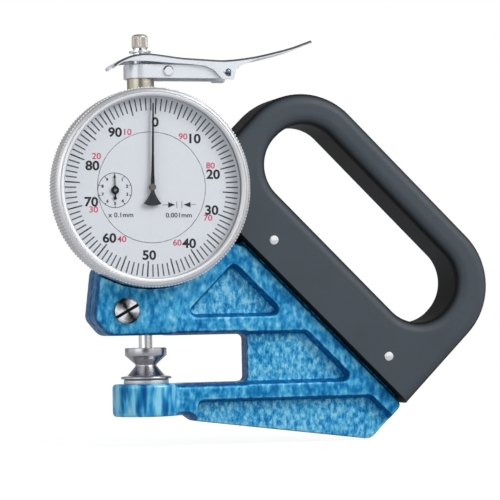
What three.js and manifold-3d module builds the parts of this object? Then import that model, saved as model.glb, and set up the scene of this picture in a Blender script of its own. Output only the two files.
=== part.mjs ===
// A dial thickness gauge, in millimetres. +X points to the grip, +Z up, and the dial faces -Y.
// The origin is the middle of the boss's underside, and the spindle moves along Z. All heights
// below are counted from the fixed anvil's measuring face, which lies the boss's height above it.
import * as THREE from "three";
import { mergeVertices } from "three/addons/utils/BufferGeometryUtils.js";
import Module from "manifold-3d";

const wasm = await Module();
wasm.setup();

// Making
const overrun = 2; // how far a cutter runs past what it cuts
const weldReach = 0.00001; // corners that are nearer than this are one
const arcSagitta = 0.08; // how far a facet of a round corner may leave its arc
const bigRoundFacets = 48;
const hiddenRoundFacets = 32;
const smallRoundFacets = 16;
const fineRoundFacets = 12;

// Fits
const runningGap = 0.1; // round a part that slides or turns
const seatGap = 0.3; // between two parts that stand clear of each other

// Measuring place
const throatDepth = 30; // from the spindle's axis to the frame's back wall
const anvilProud = 1.4;
const spindleRadius = 2;
const measuringTravel = 1.2; // as far as the spindle lifts
const contactGap = 0.05; // between the measuring faces at rest

// Heights from the throat up to the lever
const throatTop = 12.6;
const headRoom = 13.9; // from the throat up to the bezel
const bezelRadius = 29;
const dialHeight = throatTop + headRoom + bezelRadius; // of the dial's centre
const bezelOverhang = 3; // of the bezel past the case
const caseRadius = bezelRadius - bezelOverhang;
const spotDepth = 0.6; // of the flats that the stem and the top bush stand on
const pivotRise = 9; // of the lever's pin over the case
const pivotHeight = dialHeight + caseRadius - spotDepth + pivotRise;

// Frame, a light alloy casting that is parted in its middle plane
const webHalf = 3.5;
const ribHalf = 7;
const headHalf = 8;
const castDraft = 0.8; // how far a rib narrows from the web to its face
const castEdge = 0.6; // the rounding along the cast edges
const headEdge = 2; // the rounding along the head's edges
const headStep = 0.2; // of the head's underside over the throat
const headBottom = throatTop + headStep;
const headTopShare = 0.8654; // of the case's radius, below the dial's centre
const headTop = dialHeight - caseRadius * headTopShare;
const headLeft = 16.8;
const headLeftTop = 14.95;
const headChamferRun = 4.2;
const headChamferRise = 5;
const headRight = 8.6;
const headRightBulge = 2.1;
const headRightRise = 9.4;
const throatCorner = 1.4;
const armBottom = 10.8;
const bossRadius = 10;
const bossChamfer = 0.5;
const webToe = 13.6; // where the lower web starts, from the spindle's axis
const webToeDrop = 1.8;
const webSlopeShare = 0.13; // fall of the lower edge over its run
const webToeRun = 2.4;
const footRadius = 3;
const footEndRadius = 1.6;
const ribWidth = 5.2; // of the ribs along the grip and over the throat
const lowerRibWidth = 4.9;
const upperRibWidth = 6.3;
const pocketCorner = 1.1;
const throatRibHeight = 5.1;
const ribTop = throatTop + throatRibHeight;
const slitWidth = 0.6;

// The diagonal that the grip stands on, as a turned pair of directions: along it and away from it
const gripTurn = Math.PI / 4;
const seatReach = 9.16; // from the dial's centre to the diagonal
const seatOffset = dialHeight * Math.cos(gripTurn) + seatReach; // the diagonal's distance from the anvil
const dialAlong = -dialHeight * Math.sin(gripTurn); // the dial's centre, along the diagonal
const frameEndReach = 13.6; // how much further the frame's lower end is, along the diagonal
const frameEnd = seatOffset + frameEndReach;
const triangleReach = 33.24; // from the dial's centre to the upper pocket's edge
const triangleStart = dialAlong + triangleReach;

// Grip, a black moulding with a hand hole
const gripHalf = 10;
const gripEdge = 3.5; // the rounding along its edges
const gripReach = 7.64; // from the dial's centre to the grip's upper end
const gripShort = 0.4; // of the grip's lower end, from the frame's
const gripDepth = 49.9; // from the diagonal to the grip's outer side
const gripCornerShare = 0.41483;
const gripCorner = gripDepth * gripCornerShare;
const gripNear = dialAlong + gripReach; // its ends, along the diagonal
const gripFar = frameEnd - gripShort;
const gripHeight = seatOffset + gripDepth;
const holeNearWall = 9.3; // what the grip keeps on the four sides of the hand hole
const holeFarWall = 10.5;
const holeInnerWall = 17;
const holeOuterWall = 9;
const holeNear = gripNear + holeNearWall;
const holeFar = gripFar - holeFarWall;
const holeLow = seatOffset + holeInnerWall;
const holeHigh = gripHeight - holeOuterWall;
const holeCornerShare = 0.97071; // of half the hole's width
const holeCorner = ((holeHigh - holeLow) / 2) * holeCornerShare;
const pinRadius = 1.4;
const pinHeight = 6; // above the diagonal
const pinNearInset = 29.5; // of the cross pins, from the grip's ends
const pinFarInset = 14.3;
const pinNear = gripNear + pinNearInset;
const pinFar = gripFar - pinFarInset;
const pinProud = 0.15;
const pinEdge = 0.35;
const tongueHalf = 4;
const tongueHeight = 12.4;
const tongueNearMargin = 5.4; // past the cross pins
const tongueFarMargin = 11.1;
const tongueStart = pinNear - tongueNearMargin;
const tongueEnd = pinFar + tongueFarMargin;
const tongueCorner = 1.2;

// Bezel, its places along the view counted from the spindle's axis, towards the viewer
const neckBack = 5;
const bezelFront = 14.8;
const bezelBack = neckBack + seatGap;
const bezelLipWidth = 2.6;
const bezelLip = bezelRadius - bezelLipWidth;
const bezelLipDepth = 0.7;
const bezelChamfer = 1;
const bezelRearChamfer = 0.4;
const knurlDepth = 0.35;
const knurlCount = 100;
const knurlFrontMargin = 0.5;
const knurlBackMargin = 0.3;
const crystalInset = 1.9;
const crystalRadius = bezelRadius - crystalInset;
const crystalThickness = 0.9;
const ringInset = 2.5;
const ringRadius = bezelRadius - ringInset;
const innerDiscShare = 0.6038; // of the ring's radius
const innerDiscRadius = ringRadius * innerDiscShare;
const discGap = 0.15;

// Dial gauge case
const dialSunk = 3.6; // of the dial's face behind the bezel's front
const dialFace = bezelFront - dialSunk;
const dialThickness = 0.6;
const stemRadius = 4;
const stemShort = 1.4; // of the stem's end, inside the head
const stemBottom = headBottom + stemShort;
const caseBack = 7.5;
const caseWall = 3;
const caseFlange = 1.5; // how far the rear flange reaches in past the wall
const caseFlangeDepth = 3;
const caseEdge = 0.8;
const neckStep = 0.4; // from the case down to the neck that the bezel turns on
const neckRadius = caseRadius - neckStep;
const coverThickness = 1.4;
const coverEdge = 0.5;
const coverScrewInset = 2.8;
const coverScrewCircle = caseRadius - coverScrewInset;
const coverScrewCount = 4;
const coverScrewHead = 1.7;
const coverScrewHeadHeight = 0.9;
const coverScrewShank = 0.8;
const coverScrewLength = 2.6;
const coverScrewSlot = 0.5;
const coverScrewSlotDepth = 0.4;

// Movement plates
const plateInset = 1.7; // of the front plate from the case's side
const plateRadius = caseRadius - plateInset;
const plateThickness = 1;
const plateSunk = 1.2; // of the front plate behind the dial's face
const plateFront = dialFace - plateSunk;
const rearPlateFront = -4.2;
const rearPlateInset = 5;
const rearPlateRadius = caseRadius - rearPlateInset;
const pillarRadius = 1.3;
const pillarCircleShare = 0.7462; // of the case's radius
const pillarCircle = caseRadius * pillarCircleShare;
const pillarPegRadius = 0.7;
const pillarAngles = [30, 148, 222, 325].map(THREE.MathUtils.degToRad);

// Gear train
const wheelTeeth = 60;
const pinionTeeth = 6;
const rackPinionTeeth = 16;
const smallDialShare = 0.42308; // of the case's radius
const smallDialReach = caseRadius * smallDialShare; // from the dial's centre to the small hand
const rackDrop = 3.458553; // from the small hand's arbor down to the rack arbor
const rackLead = 10; // travel of the spindle to one turn of the rack pinion
const rackPitch = rackLead / rackPinionTeeth;
const rackPitchLineShare = 0.6; // of the spindle's radius
const rackPitchLine = spindleRadius * rackPitchLineShare; // from the spindle's axis
const rackLength = 9;
const toothThicknessShare = 0.34; // of the pitch, at the pitch circle
const toothTipShare = 0.18; // of the pitch, at the tip
const addendumShare = 0.8; // of the module
const dedendumShare = 1.15; // of the module
const subDialTurn = THREE.MathUtils.degToRad(184.2); // from the main centre
const arborRadius = 0.6;
const pivotRadius = 0.4;
const wheelThickness = 0.6;
const wheelWindows = 4;
const pinionLength = 1.2;
const rackPinionLength = 3.2;
const rackWheelShare = 0.33; // middles of the wheels and the bridge, of the way to the front plate
const fineWheelShare = 0.59;
const bridgePlaneShare = 0.45;
const rackWheelPlane = plateFront * rackWheelShare;
const fineWheelPlane = plateFront * fineWheelShare;
const bridgePlane = plateFront * bridgePlaneShare;
const colletRadius = 1.2;
const bridgeThickness = 0.8;
const bridgeReachShare = 0.5385; // of the case's radius
const bridgeReach = caseRadius * bridgeReachShare;
const bridgeTurn = THREE.MathUtils.degToRad(65);
const bridgeFootTurn = THREE.MathUtils.degToRad(8);
const bridgeFootRadius = 1.4;

// Hands
const pointerShort = 2.1; // of the pointer's tip, from the outer scale's edge
const pointerReach = ringRadius - pointerShort;
const pointerTail = 6;
const pointerTipWidth = 0.36;
const pointerRootWidth = 1.1;
const pointerTailHalfTurn = THREE.MathUtils.degToRad(24);
const pointerTailFacets = 6;
const pointerRest = THREE.MathUtils.degToRad(0.66); // clockwise from upright
const pointerThickness = 0.25;
const pointerLift = 0.75; // over the dial's face
const pointerHub = 1.3;
const pointerHubHeight = 0.5;
const smallPointerReach = 3.9;
const smallPointerTail = 2;
const smallPointerWidth = 0.32;
const smallPointerTailWidth = 0.7;
const smallPointerLift = 0.25;
const smallPointerHub = 0.95;

// Contact tip
const tipFlangeRadius = 7.4;
const tipFlangeHeight = 0.7;
const tipConeRadius = 5.5;
const tipConeBottom = 1;
const tipWaistRadius = 3.1;
const tipWaistHeight = 4;
const tipDiscRadius = 6.1;
const tipDiscBottom = 6.9;
const tipHeight = 9.1;
const tipChamfer = 0.25;
const tipStudRadius = 1.2;
const tipStudLength = 4;

// Spring, its collar and its guide pin
const collarRadius = 3.4;
const collarBottom = dialHeight + bridgeReach;
const collarHeight = 2.5;
const guidePinRadius = 0.55;
const guidePinProud = 0.6; // behind the rear plate
const guidePinReach = plateThickness - rearPlateFront + guidePinProud;
const springRadius = 2.9;
const springWire = 0.5;
const springTurns = 5;
const springSteps = 8; // a turn
const springFacets = 5;

// Anvil and clamp
const anvilRadius = 6.6;
const anvilEdge = 0.3;
const anvilShank = 4;
const anvilShankLength = 6.2;
const clampScrewX = -7.4;
const clampScrewShare = 0.518; // of the head's room, over its underside
const clampScrewHeight = headBottom + headRoom * clampScrewShare;
const clampScrewHead = 3.8;
const clampScrewHeadHeight = 1.7;
const clampScrewDome = 0.5;
const clampScrewShank = 2;
const clampScrewLength = 13.5;
const clampScrewSlot = 0.9;
const clampScrewSlotDepth = 1;
const clampScrewSlotTurn = THREE.MathUtils.degToRad(29);

// Lift lever and its bracket
const sheet = 0.9;
const bushRadius = 4;
const strapHalf = 2;
const bushProud = 0.3; // over the bracket's strap
const bushTop = pivotHeight + strapHalf + bushProud;
const pivotX = 25.2;
const leverPinRadius = 0.75;
const bracketTail = 1.8; // past the lever's pin
const bracketEnd = pivotX + bracketTail;
const bracketBendFacets = 12;
const bracketFace = bushRadius + runningGap + sheet;
const bracketScrewReach = 3.2; // from the bush
const bracketScrewX = bushRadius + bracketScrewReach;
const bracketScrewRise = 0.1; // over the lever's pin
const bracketScrewHeight = pivotHeight + bracketScrewRise;
const bracketScrewRadius = 1;
const bracketScrewHead = 1.6;
const bracketScrewHeadHeight = 0.7;
const bracketNutAcross = 4;
const bracketNutHeight = 1.6;
const bracketNutSides = 6;
const leverCheek = 0.8;
const leverHalf = bracketFace + 2 * runningGap + leverCheek;
const forkClearance = 0.4;
const forkSlot = spindleRadius + forkClearance; // half of the fork's slot
const forkEndShare = 1.5; // of the slot's half, past the spindle's axis
const forkEnd = forkSlot * forkEndShare;
// The lever's top line and its cheeks' lower line, from the fork to the thumb end. They are shares
// of the pin's distance from the spindle's axis, counted from that axis and from the pin's height.
const leverTopShares = [
  [-0.373, 0.0595], [-0.3111, 0.1071], [-0.2202, 0.152], [-0.1202, 0.1845], [0.0361, 0.2036],
  [0.2813, 0.1774], [0.4643, 0.1552], [0.804, 0.1369], [0.9921, 0.1349], [1.2817, 0.1706],
  [1.5556, 0.2302], [1.7897, 0.2937], [2.0278, 0.381],
];
const cheekShares = [
  [-0.2619, 0.0952], [-0.1786, 0.1111], [0.0437, 0.1111], [0.3214, 0.0913], [0.5714, 0.0794],
  [0.7302, 0.0595], [0.8254, 0.0159], [0.9286, -0.0913], [1.0635, -0.0913], [1.0952, 0.0159],
  [1.1667, 0.0754], [1.3492, 0.1468],
];

// Lift washer and knob
const washerRadius = 3.25;
const washerRiseShare = 0.2262; // of the pin's distance from the spindle's axis, over the pin
const washerBottom = pivotHeight + pivotX * washerRiseShare;
const washerThickness = 0.55;
const knobStep = 1.3; // over the washer's underside
const knobHeight = 4.1;
const knobBottom = washerBottom + knobStep;
const knobTop = knobBottom + knobHeight;
const knobRadius = 2.45;
const knobChamfer = 0.6;
const knobFlutes = 20;
const knobFluteDepth = 0.18;
const knobNeckRadius = 1.3;

// Turning a geometry into a solid that can be joined and cut, and back
function solidOf(geometry) {
  const bare = geometry.clone();
  bare.deleteAttribute("normal");
  bare.deleteAttribute("uv");
  const merged = mergeVertices(bare, weldReach);
  const vertProperties = merged.attributes.position.array;
  const build = (triVerts) => new wasm.Manifold(new wasm.Mesh({ numProp: 3, vertProperties, triVerts }));
  const corners = new Uint32Array(merged.index.array).filter((_, i, all) => {
    const [a, b, c] = all.subarray(i - (i % 3), i - (i % 3) + 3);
    return a !== b && b !== c && c !== a;
  });
  const made = build(corners);
  return made.volume() > 0 ? made : build(corners.map((_, i, all) => all[i - (i % 3) + 2 - (i % 3)]));
}

function geometryOf(solid) {
  const mesh = solid.getMesh();
  const positions = new Float32Array(mesh.numVert * 3);
  for (let i = 0; i < mesh.numVert; i++)
    positions.set(mesh.vertProperties.subarray(i * mesh.numProp, i * mesh.numProp + 3), i * 3);
  const geometry = new THREE.BufferGeometry();
  geometry.setAttribute("position", new THREE.BufferAttribute(positions, 3));
  geometry.setIndex(new THREE.BufferAttribute(mesh.triVerts, 1));
  const faceted = geometry.toNonIndexed();
  faceted.computeVertexNormals();
  return faceted;
}

const join = (first, ...others) => others.reduce((sum, next) => sum.add(next), first);
const cut = (body, ...cutters) => cutters.reduce((rest, next) => rest.subtract(next), body);

// A solid of revolution about the Z axis, or about the Y axis, from [radius, place] corners
function turnedZ(profile, facets = smallRoundFacets) {
  return solidOf(latheOf(profile, facets).rotateX(Math.PI / 2));
}

function turnedY(profile, [x, z], facets = smallRoundFacets) {
  return solidOf(latheOf(profile, facets).translate(x, 0, z));
}

function latheOf(profile, facets) {
  const points = profile.map(([radius, place]) => new THREE.Vector2(radius, place));
  const closed = points[0].x > 0 || points.at(-1).x > 0;
  return new THREE.LatheGeometry(closed ? [...points, points[0]] : points, facets);
}

const rodY = (radius, from, to, centre, facets) =>
  turnedY([[0, from], [radius, from], [radius, to], [0, to]], centre, facets);
const rodZ = (radius, from, to, facets = smallRoundFacets) =>
  turnedZ([[0, from], [radius, from], [radius, to], [0, to]], facets);

function block([x0, x1], [y0, y1], [z0, z1]) {
  const box = new THREE.BoxGeometry(x1 - x0, y1 - y0, z1 - z0);
  return solidOf(box.translate((x0 + x1) / 2, (y0 + y1) / 2, (z0 + z1) / 2));
}

const roundOutline = ([x, z], radius, facets) =>
  Array.from({ length: facets }, (_, i) => {
    const turn = (2 * Math.PI * i) / facets;
    return [x + radius * Math.cos(turn), z + radius * Math.sin(turn)];
  });

// A plate that is cut to a flat outline in X and Z, between two places along Y
function plateOf(outline, from, to, holes = []) {
  const shape = new THREE.Shape(outline.map(([x, z]) => new THREE.Vector2(x, z)));
  for (const [x, z, radius, facets = fineRoundFacets] of holes) {
    const rim = roundOutline([x, z], radius, facets).reverse();
    shape.holes.push(new THREE.Path(rim.map(([rimX, rimZ]) => new THREE.Vector2(rimX, rimZ))));
  }
  const geometry = new THREE.ExtrudeGeometry(shape, { depth: to - from, bevelEnabled: false });
  return solidOf(geometry.rotateX(Math.PI / 2).translate(0, to, 0));
}

// The points round an outline of [x, z, corner radius], moved in by an inset, with as many points
// at each inset. The outline runs anticlockwise as the viewer sees it.
function roundedLoop(corners, inset) {
  return corners.flatMap(([x, z, radius], i) => {
    const [beforeX, beforeZ] = corners.at(i - 1);
    const [afterX, afterZ] = corners[(i + 1) % corners.length];
    const arrive = new THREE.Vector2(x - beforeX, z - beforeZ).normalize();
    const leave = new THREE.Vector2(afterX - x, afterZ - z).normalize();
    const turn = Math.atan2(arrive.cross(leave), arrive.dot(leave));
    const side = Math.sign(turn);
    const inward = new THREE.Vector2(-arrive.y, arrive.x).multiplyScalar(side);
    const reach = radius * Math.tan(Math.abs(turn) / 2);
    const centre = new THREE.Vector2(x, z).addScaledVector(arrive, -reach).addScaledVector(inward, radius);
    const facetTurn = 2 * Math.acos(1 - arcSagitta / Math.max(radius, arcSagitta));
    const steps = Math.max(2, Math.ceil(Math.abs(turn) / facetTurn));
    return Array.from({ length: steps + 1 }, (_, k) => {
      const spoke = inward.clone().rotateAround(new THREE.Vector2(), (turn * k) / steps);
      return centre.clone().addScaledVector(spoke, side * inset - radius);
    });
  });
}

// A prism along Y whose outline is inset by a stated amount at each level: [place, inset]
function draftedPrism(corners, levels) {
  const loops = levels.map(([, inset]) => roundedLoop(corners, inset));
  const count = loops[0].length;
  const positions = levels.flatMap(([y], level) => loops[level].flatMap((p) => [p.x, y, p.y]));
  const index = [];
  for (let level = 0; level + 1 < levels.length; level++)
    for (let i = 0; i < count; i++) {
      const a = level * count + i;
      const b = level * count + ((i + 1) % count);
      index.push(a, a + count, b, b, a + count, b + count);
    }
  const last = (levels.length - 1) * count;
  for (const [a, b, c] of THREE.ShapeUtils.triangulateShape(loops[0], [])) index.push(a, b, c);
  for (const [a, b, c] of THREE.ShapeUtils.triangulateShape(loops.at(-1), []))
    index.push(last + a, last + c, last + b);
  const geometry = new THREE.BufferGeometry();
  geometry.setAttribute("position", new THREE.Float32BufferAttribute(positions, 3));
  geometry.setIndex(index);
  return solidOf(geometry);
}

// Levels that round both long edges of a prism, and the same for a hole through it
function roundedLevels(half, edge, steps = 2) {
  const front = Array.from({ length: steps + 1 }, (_, i) => {
    const turn = (Math.PI / 2) * (1 - i / steps);
    return [-(half - edge + edge * Math.sin(turn)), edge * (1 - Math.cos(turn))];
  });
  return [...front, ...front.map(([y, inset]) => [-y, inset]).reverse()];
}

function flaredLevels(half, edge) {
  const through = roundedLevels(half, edge).map(([y, inset]) => [y, -inset]);
  return [[-half - overrun, -edge], ...through, [half + overrun, -edge]];
}

// A point given along the diagonal and away from it
const onDiagonal = (along, away, ...rest) => [
  along * Math.cos(gripTurn) + away * Math.sin(gripTurn),
  away * Math.cos(gripTurn) - along * Math.sin(gripTurn),
  ...rest,
];

const dialCentre = [0, dialHeight];
const aroundDial = (radius, turn) => [radius * Math.cos(turn), dialHeight + radius * Math.sin(turn)];

// Frame casting
function frameCasting() {
  const slabLevels = [
    [-ribHalf, castDraft + castEdge],
    [-(ribHalf - castEdge), castDraft],
    [-webHalf, 0],
    [webHalf, 0],
    [ribHalf - castEdge, castDraft],
    [ribHalf, castDraft + castEdge],
  ];
  const inner = castDraft + 2 * castEdge;
  const round = headEdge + castEdge;
  const slopeStart = -(armBottom + webToeDrop);
  const [endX, endZ] = onDiagonal(frameEnd, 0);
  const footX = (slopeStart + webToe * webSlopeShare + endX - endZ) / (1 + webSlopeShare);
  const footZ = slopeStart - (footX - webToe) * webSlopeShare;
  const slab = [
    [0, -armBottom, inner],
    [webToe - webToeRun, -armBottom, inner],
    [webToe, slopeStart, inner],
    [footX, footZ, footRadius],
    onDiagonal(frameEnd, seatOffset, footEndRadius + castEdge),
    onDiagonal(seatOffset - dialHeight, seatOffset, inner),
    [headRight / 2, dialHeight - bossRadius, inner],
    [headRight / 2, throatTop, inner],
    [throatDepth, throatTop, throatCorner],
    [throatDepth, -anvilProud, throatCorner],
    [0, -anvilProud, inner],
  ];
  const head = [
    [-headLeft + headChamferRun, headBottom, round],
    [headRight, headBottom, round],
    [headRight + headRightBulge, headBottom + headRightRise, round],
    [headRight, dialHeight - bezelRadius + bossRadius, round],
    [-headLeftTop, headTop, round],
    [-headLeft, headBottom + headChamferRise, round],
  ];
  const tongue = [
    onDiagonal(tongueStart, seatOffset - ribWidth / 2, tongueCorner),
    onDiagonal(tongueEnd, seatOffset - ribWidth / 2, tongueCorner),
    onDiagonal(tongueEnd, seatOffset + tongueHeight, tongueCorner),
    onDiagonal(tongueStart, seatOffset + tongueHeight, tongueCorner),
  ];
  const boss = turnedZ(
    [
      [0, -armBottom],
      [bossRadius - bossChamfer, -armBottom],
      [bossRadius, -armBottom + bossChamfer],
      [bossRadius, -anvilProud - bossChamfer],
      [bossRadius - bossChamfer, -anvilProud],
      [0, -anvilProud],
    ],
    bigRoundFacets / 2,
  );
  const solid = join(
    draftedPrism(slab, slabLevels),
    draftedPrism(head, roundedLevels(headHalf, headEdge)),
    draftedPrism(tongue, [[-tongueHalf, 0], [tongueHalf, 0]]),
    boss,
  );
  return cut(solid, ...pockets(footZ - overrun), ...frameBores());
}

// The three pockets on each side, drafted like the ribs between them. The lowest one is open below.
function pockets(lowest) {
  const innerRib = seatOffset - ribWidth;
  // Where a line beside the diagonal is at a height
  const line = (away, z) => [away / Math.sin(gripTurn) - z, z];
  const triangleFloor = upperRibWidth + castDraft;
  const floorLow = ribTop + castDraft;
  const floorLeft = triangleStart + castDraft;
  const [apexX, apexZ] = onDiagonal(floorLeft, seatOffset - triangleFloor);
  const [leftX, leftZ] = onDiagonal(floorLeft, 0);
  const triangle = [
    [leftX - leftZ + floorLow, floorLow, pocketCorner],
    [...line(seatOffset - triangleFloor, floorLow), pocketCorner],
    [apexX, apexZ, pocketCorner],
  ];
  const middleAway = innerRib - castDraft;
  const middle = [
    [throatDepth - overrun, -anvilProud, pocketCorner],
    [...line(middleAway, -anvilProud), pocketCorner],
    [...line(middleAway, throatTop), pocketCorner],
    [throatDepth - overrun, throatTop, pocketCorner],
  ];
  const lowerTop = -(anvilProud + lowerRibWidth + castDraft);
  const lowerLeft = webToe + castDraft;
  const lower = [
    [lowerLeft, lowest, pocketCorner],
    [...line(middleAway, lowest), pocketCorner],
    [...line(middleAway, lowerTop), pocketCorner],
    [lowerLeft, lowerTop, pocketCorner],
  ];
  const flare = (castDraft * (ribHalf + overrun - webHalf)) / (ribHalf - webHalf);
  return [triangle, middle, lower].flatMap((corners) => [
    draftedPrism(corners, [[-(ribHalf + overrun), -flare], [-webHalf, 0]]),
    draftedPrism(corners, [[webHalf, 0], [ribHalf + overrun, -flare]]),
  ]);
}

// The cradle round the dial gauge, the stem's bore with its slit, and the holes
function frameBores() {
  const stepPlace = -neckBack;
  const throughHead = [-(headHalf + overrun), headHalf + overrun];
  const throughHeight = [headBottom - overrun, headTop + overrun];
  return [
    rodY(bezelRadius + seatGap, -(headHalf + overrun), stepPlace, dialCentre, bigRoundFacets),
    rodY(caseRadius + seatGap, stepPlace - overrun, headHalf + overrun, dialCentre, bigRoundFacets),
    rodZ(stemRadius + runningGap, ...throughHeight),
    block([-headLeft - overrun, 0], [-slitWidth / 2, slitWidth / 2], throughHeight),
    rodY(clampScrewShank + runningGap, ...throughHead, [clampScrewX, clampScrewHeight]),
    rodZ(anvilShank + runningGap, -anvilProud - anvilShankLength - seatGap, overrun - anvilProud),
    ...[pinNear, pinFar].map((along) =>
      rodY(pinRadius + runningGap, -ribHalf, ribHalf, onDiagonal(along, seatOffset + pinHeight)),
    ),
  ];
}

// Grip with the slot that takes the frame's tongue
function gripMoulding() {
  const low = seatOffset + seatGap;
  const outer = [
    onDiagonal(gripNear, low - gripCorner, gripEdge + castEdge),
    onDiagonal(gripFar, low - gripCorner, gripEdge + castEdge),
    onDiagonal(gripFar, gripHeight, gripCorner),
    onDiagonal(gripNear, gripHeight, gripCorner),
  ];
  const hole = [
    onDiagonal(holeNear, holeLow, holeCorner),
    onDiagonal(holeFar, holeLow, holeCorner),
    onDiagonal(holeFar, holeHigh, holeCorner),
    onDiagonal(holeNear, holeHigh, holeCorner),
  ];
  const below = [
    onDiagonal(gripNear - overrun, low - gripCorner - overrun, 0),
    onDiagonal(gripFar + overrun, low - gripCorner - overrun, 0),
    onDiagonal(gripFar + overrun, low, 0),
    onDiagonal(gripNear - overrun, low, 0),
  ];
  const slot = [
    onDiagonal(tongueStart - seatGap, low - overrun, tongueCorner),
    onDiagonal(tongueEnd + seatGap, low - overrun, tongueCorner),
    onDiagonal(tongueEnd + seatGap, seatOffset + tongueHeight + seatGap, tongueCorner),
    onDiagonal(tongueStart - seatGap, seatOffset + tongueHeight + seatGap, tongueCorner),
  ];
  const through = [-(gripHalf + overrun), gripHalf + overrun];
  return cut(
    draftedPrism(outer, roundedLevels(gripHalf, gripEdge)),
    draftedPrism(hole, flaredLevels(gripHalf, gripEdge)),
    plateOf(below, ...through),
    draftedPrism(slot, [[-(tongueHalf + seatGap), 0], [tongueHalf + seatGap, 0]]),
    rodY(bezelRadius + 2 * seatGap, ...through, dialCentre, bigRoundFacets),
    ...[pinNear, pinFar].map((along) =>
      rodY(pinRadius + runningGap, ...through, onDiagonal(along, seatOffset + pinHeight)),
    ),
  );
}

function gripPin(along) {
  const end = gripHalf + pinProud;
  const profile = [
    [0, -end],
    [pinRadius - pinEdge, -end],
    [pinRadius, -end + pinEdge],
    [pinRadius, end - pinEdge],
    [pinRadius - pinEdge, end],
    [0, end],
  ];
  return turnedY(profile, onDiagonal(along, seatOffset + pinHeight));
}

function anvil() {
  return turnedZ([
    [0, -(anvilProud + anvilShankLength)],
    [anvilShank, -(anvilProud + anvilShankLength)],
    [anvilShank, -anvilProud],
    [anvilRadius, -anvilProud],
    [anvilRadius, -anvilEdge],
    [anvilRadius - anvilEdge, 0],
    [0, 0],
  ]);
}

// A slotted screw along Y whose head lies against a face and points to the viewer
function slottedScrew({ head, headHeight, dome, shank, length, slot, slotDepth, slotTurn, seat, centre }) {
  const front = seat - headHeight;
  const body = turnedY(
    [
      [0, front],
      [head - dome, front],
      [head, front + dome],
      [head, seat],
      [shank, seat],
      [shank, seat + length],
      [0, seat + length],
    ],
    centre,
  );
  const [x, z] = centre;
  const groove = new THREE.BoxGeometry(2 * head + overrun, 2 * slotDepth, slot).rotateY(-slotTurn);
  return cut(body, solidOf(groove.translate(x, front, z)));
}

function clampScrew() {
  return slottedScrew({
    head: clampScrewHead,
    headHeight: clampScrewHeadHeight,
    dome: clampScrewDome,
    shank: clampScrewShank,
    length: clampScrewLength,
    slot: clampScrewSlot,
    slotDepth: clampScrewSlotDepth,
    slotTurn: clampScrewSlotTurn,
    seat: -headHalf,
    centre: [clampScrewX, clampScrewHeight],
  });
}

// Dial gauge case: a ring with a neck for the bezel, a ledge for the plate and a flange for the cover
const coverScrewPlaces = Array.from({ length: coverScrewCount }, (_, i) =>
  aroundDial(coverScrewCircle, (2 * Math.PI * (i + 1 / 2)) / coverScrewCount),
);

const coverScrewHoles = (depth) =>
  coverScrewPlaces.map((centre) => rodY(coverScrewShank + runningGap, ...depth, centre, fineRoundFacets));

function caseBody() {
  const bore = caseRadius - caseWall;
  const ring = turnedY(
    [
      [plateRadius + seatGap, -plateFront],
      [neckRadius, -plateFront],
      [neckRadius, -neckBack],
      [caseRadius, -neckBack],
      [caseRadius, caseBack - caseEdge],
      [caseRadius - caseEdge, caseBack],
      [bore - caseFlange, caseBack],
      [bore - caseFlange, caseBack - caseFlangeDepth],
      [bore, caseBack - caseFlangeDepth],
      [bore, plateThickness - plateFront],
      [plateRadius + seatGap, plateThickness - plateFront],
    ],
    dialCentre,
    bigRoundFacets,
  );
  const flat = caseRadius - spotDepth;
  const flatHalf = [-caseRadius / 2, caseRadius / 2];
  const flatDepth = [-stemRadius, stemRadius];
  return cut(
    ring,
    block(flatHalf, flatDepth, [dialHeight - caseRadius - overrun, dialHeight - flat]),
    block(flatHalf, flatDepth, [dialHeight + flat, dialHeight + caseRadius + overrun]),
    rodZ(spindleRadius + runningGap, dialHeight - caseRadius - overrun, dialHeight + caseRadius + overrun),
    ...coverScrewHoles([caseBack - caseFlangeDepth + seatGap, caseBack + overrun]),
  );
}

function caseCover() {
  const back = caseBack + coverThickness;
  const disc = turnedY(
    [
      [0, caseBack],
      [caseRadius - coverEdge, caseBack],
      [caseRadius - coverEdge, back - coverEdge],
      [caseRadius - 2 * coverEdge, back],
      [0, back],
    ],
    dialCentre,
    bigRoundFacets,
  );
  return cut(disc, ...coverScrewHoles([caseBack - overrun, back + overrun]));
}

function coverScrew([x, z]) {
  const seat = caseBack + coverThickness;
  const end = seat + coverScrewHeadHeight;
  const body = turnedY(
    [
      [0, seat - coverScrewLength - coverThickness / 2],
      [coverScrewShank, seat - coverScrewLength - coverThickness / 2],
      [coverScrewShank, seat],
      [coverScrewHead, seat],
      [coverScrewHead, end - coverEdge / 2],
      [coverScrewHead - coverEdge, end],
      [0, end],
    ],
    [x, z],
    fineRoundFacets,
  );
  const across = [x - coverScrewHead, x + coverScrewHead];
  const depth = [end - coverScrewSlotDepth, end + overrun];
  return cut(body, block(across, depth, [z - coverScrewSlot / 2, z + coverScrewSlot / 2]));
}

function stem() {
  const top = dialHeight - caseRadius + spotDepth;
  return turnedZ([
    [spindleRadius + runningGap, stemBottom],
    [stemRadius, stemBottom],
    [stemRadius, top],
    [spindleRadius + runningGap, top],
  ]);
}

function topBush() {
  const bottom = dialHeight + caseRadius - spotDepth;
  return turnedZ([
    [spindleRadius + runningGap, bottom],
    [bushRadius, bottom],
    [bushRadius, bushTop - tipChamfer],
    [bushRadius - tipChamfer, bushTop],
    [spindleRadius + runningGap, bushTop],
  ]);
}

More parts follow.
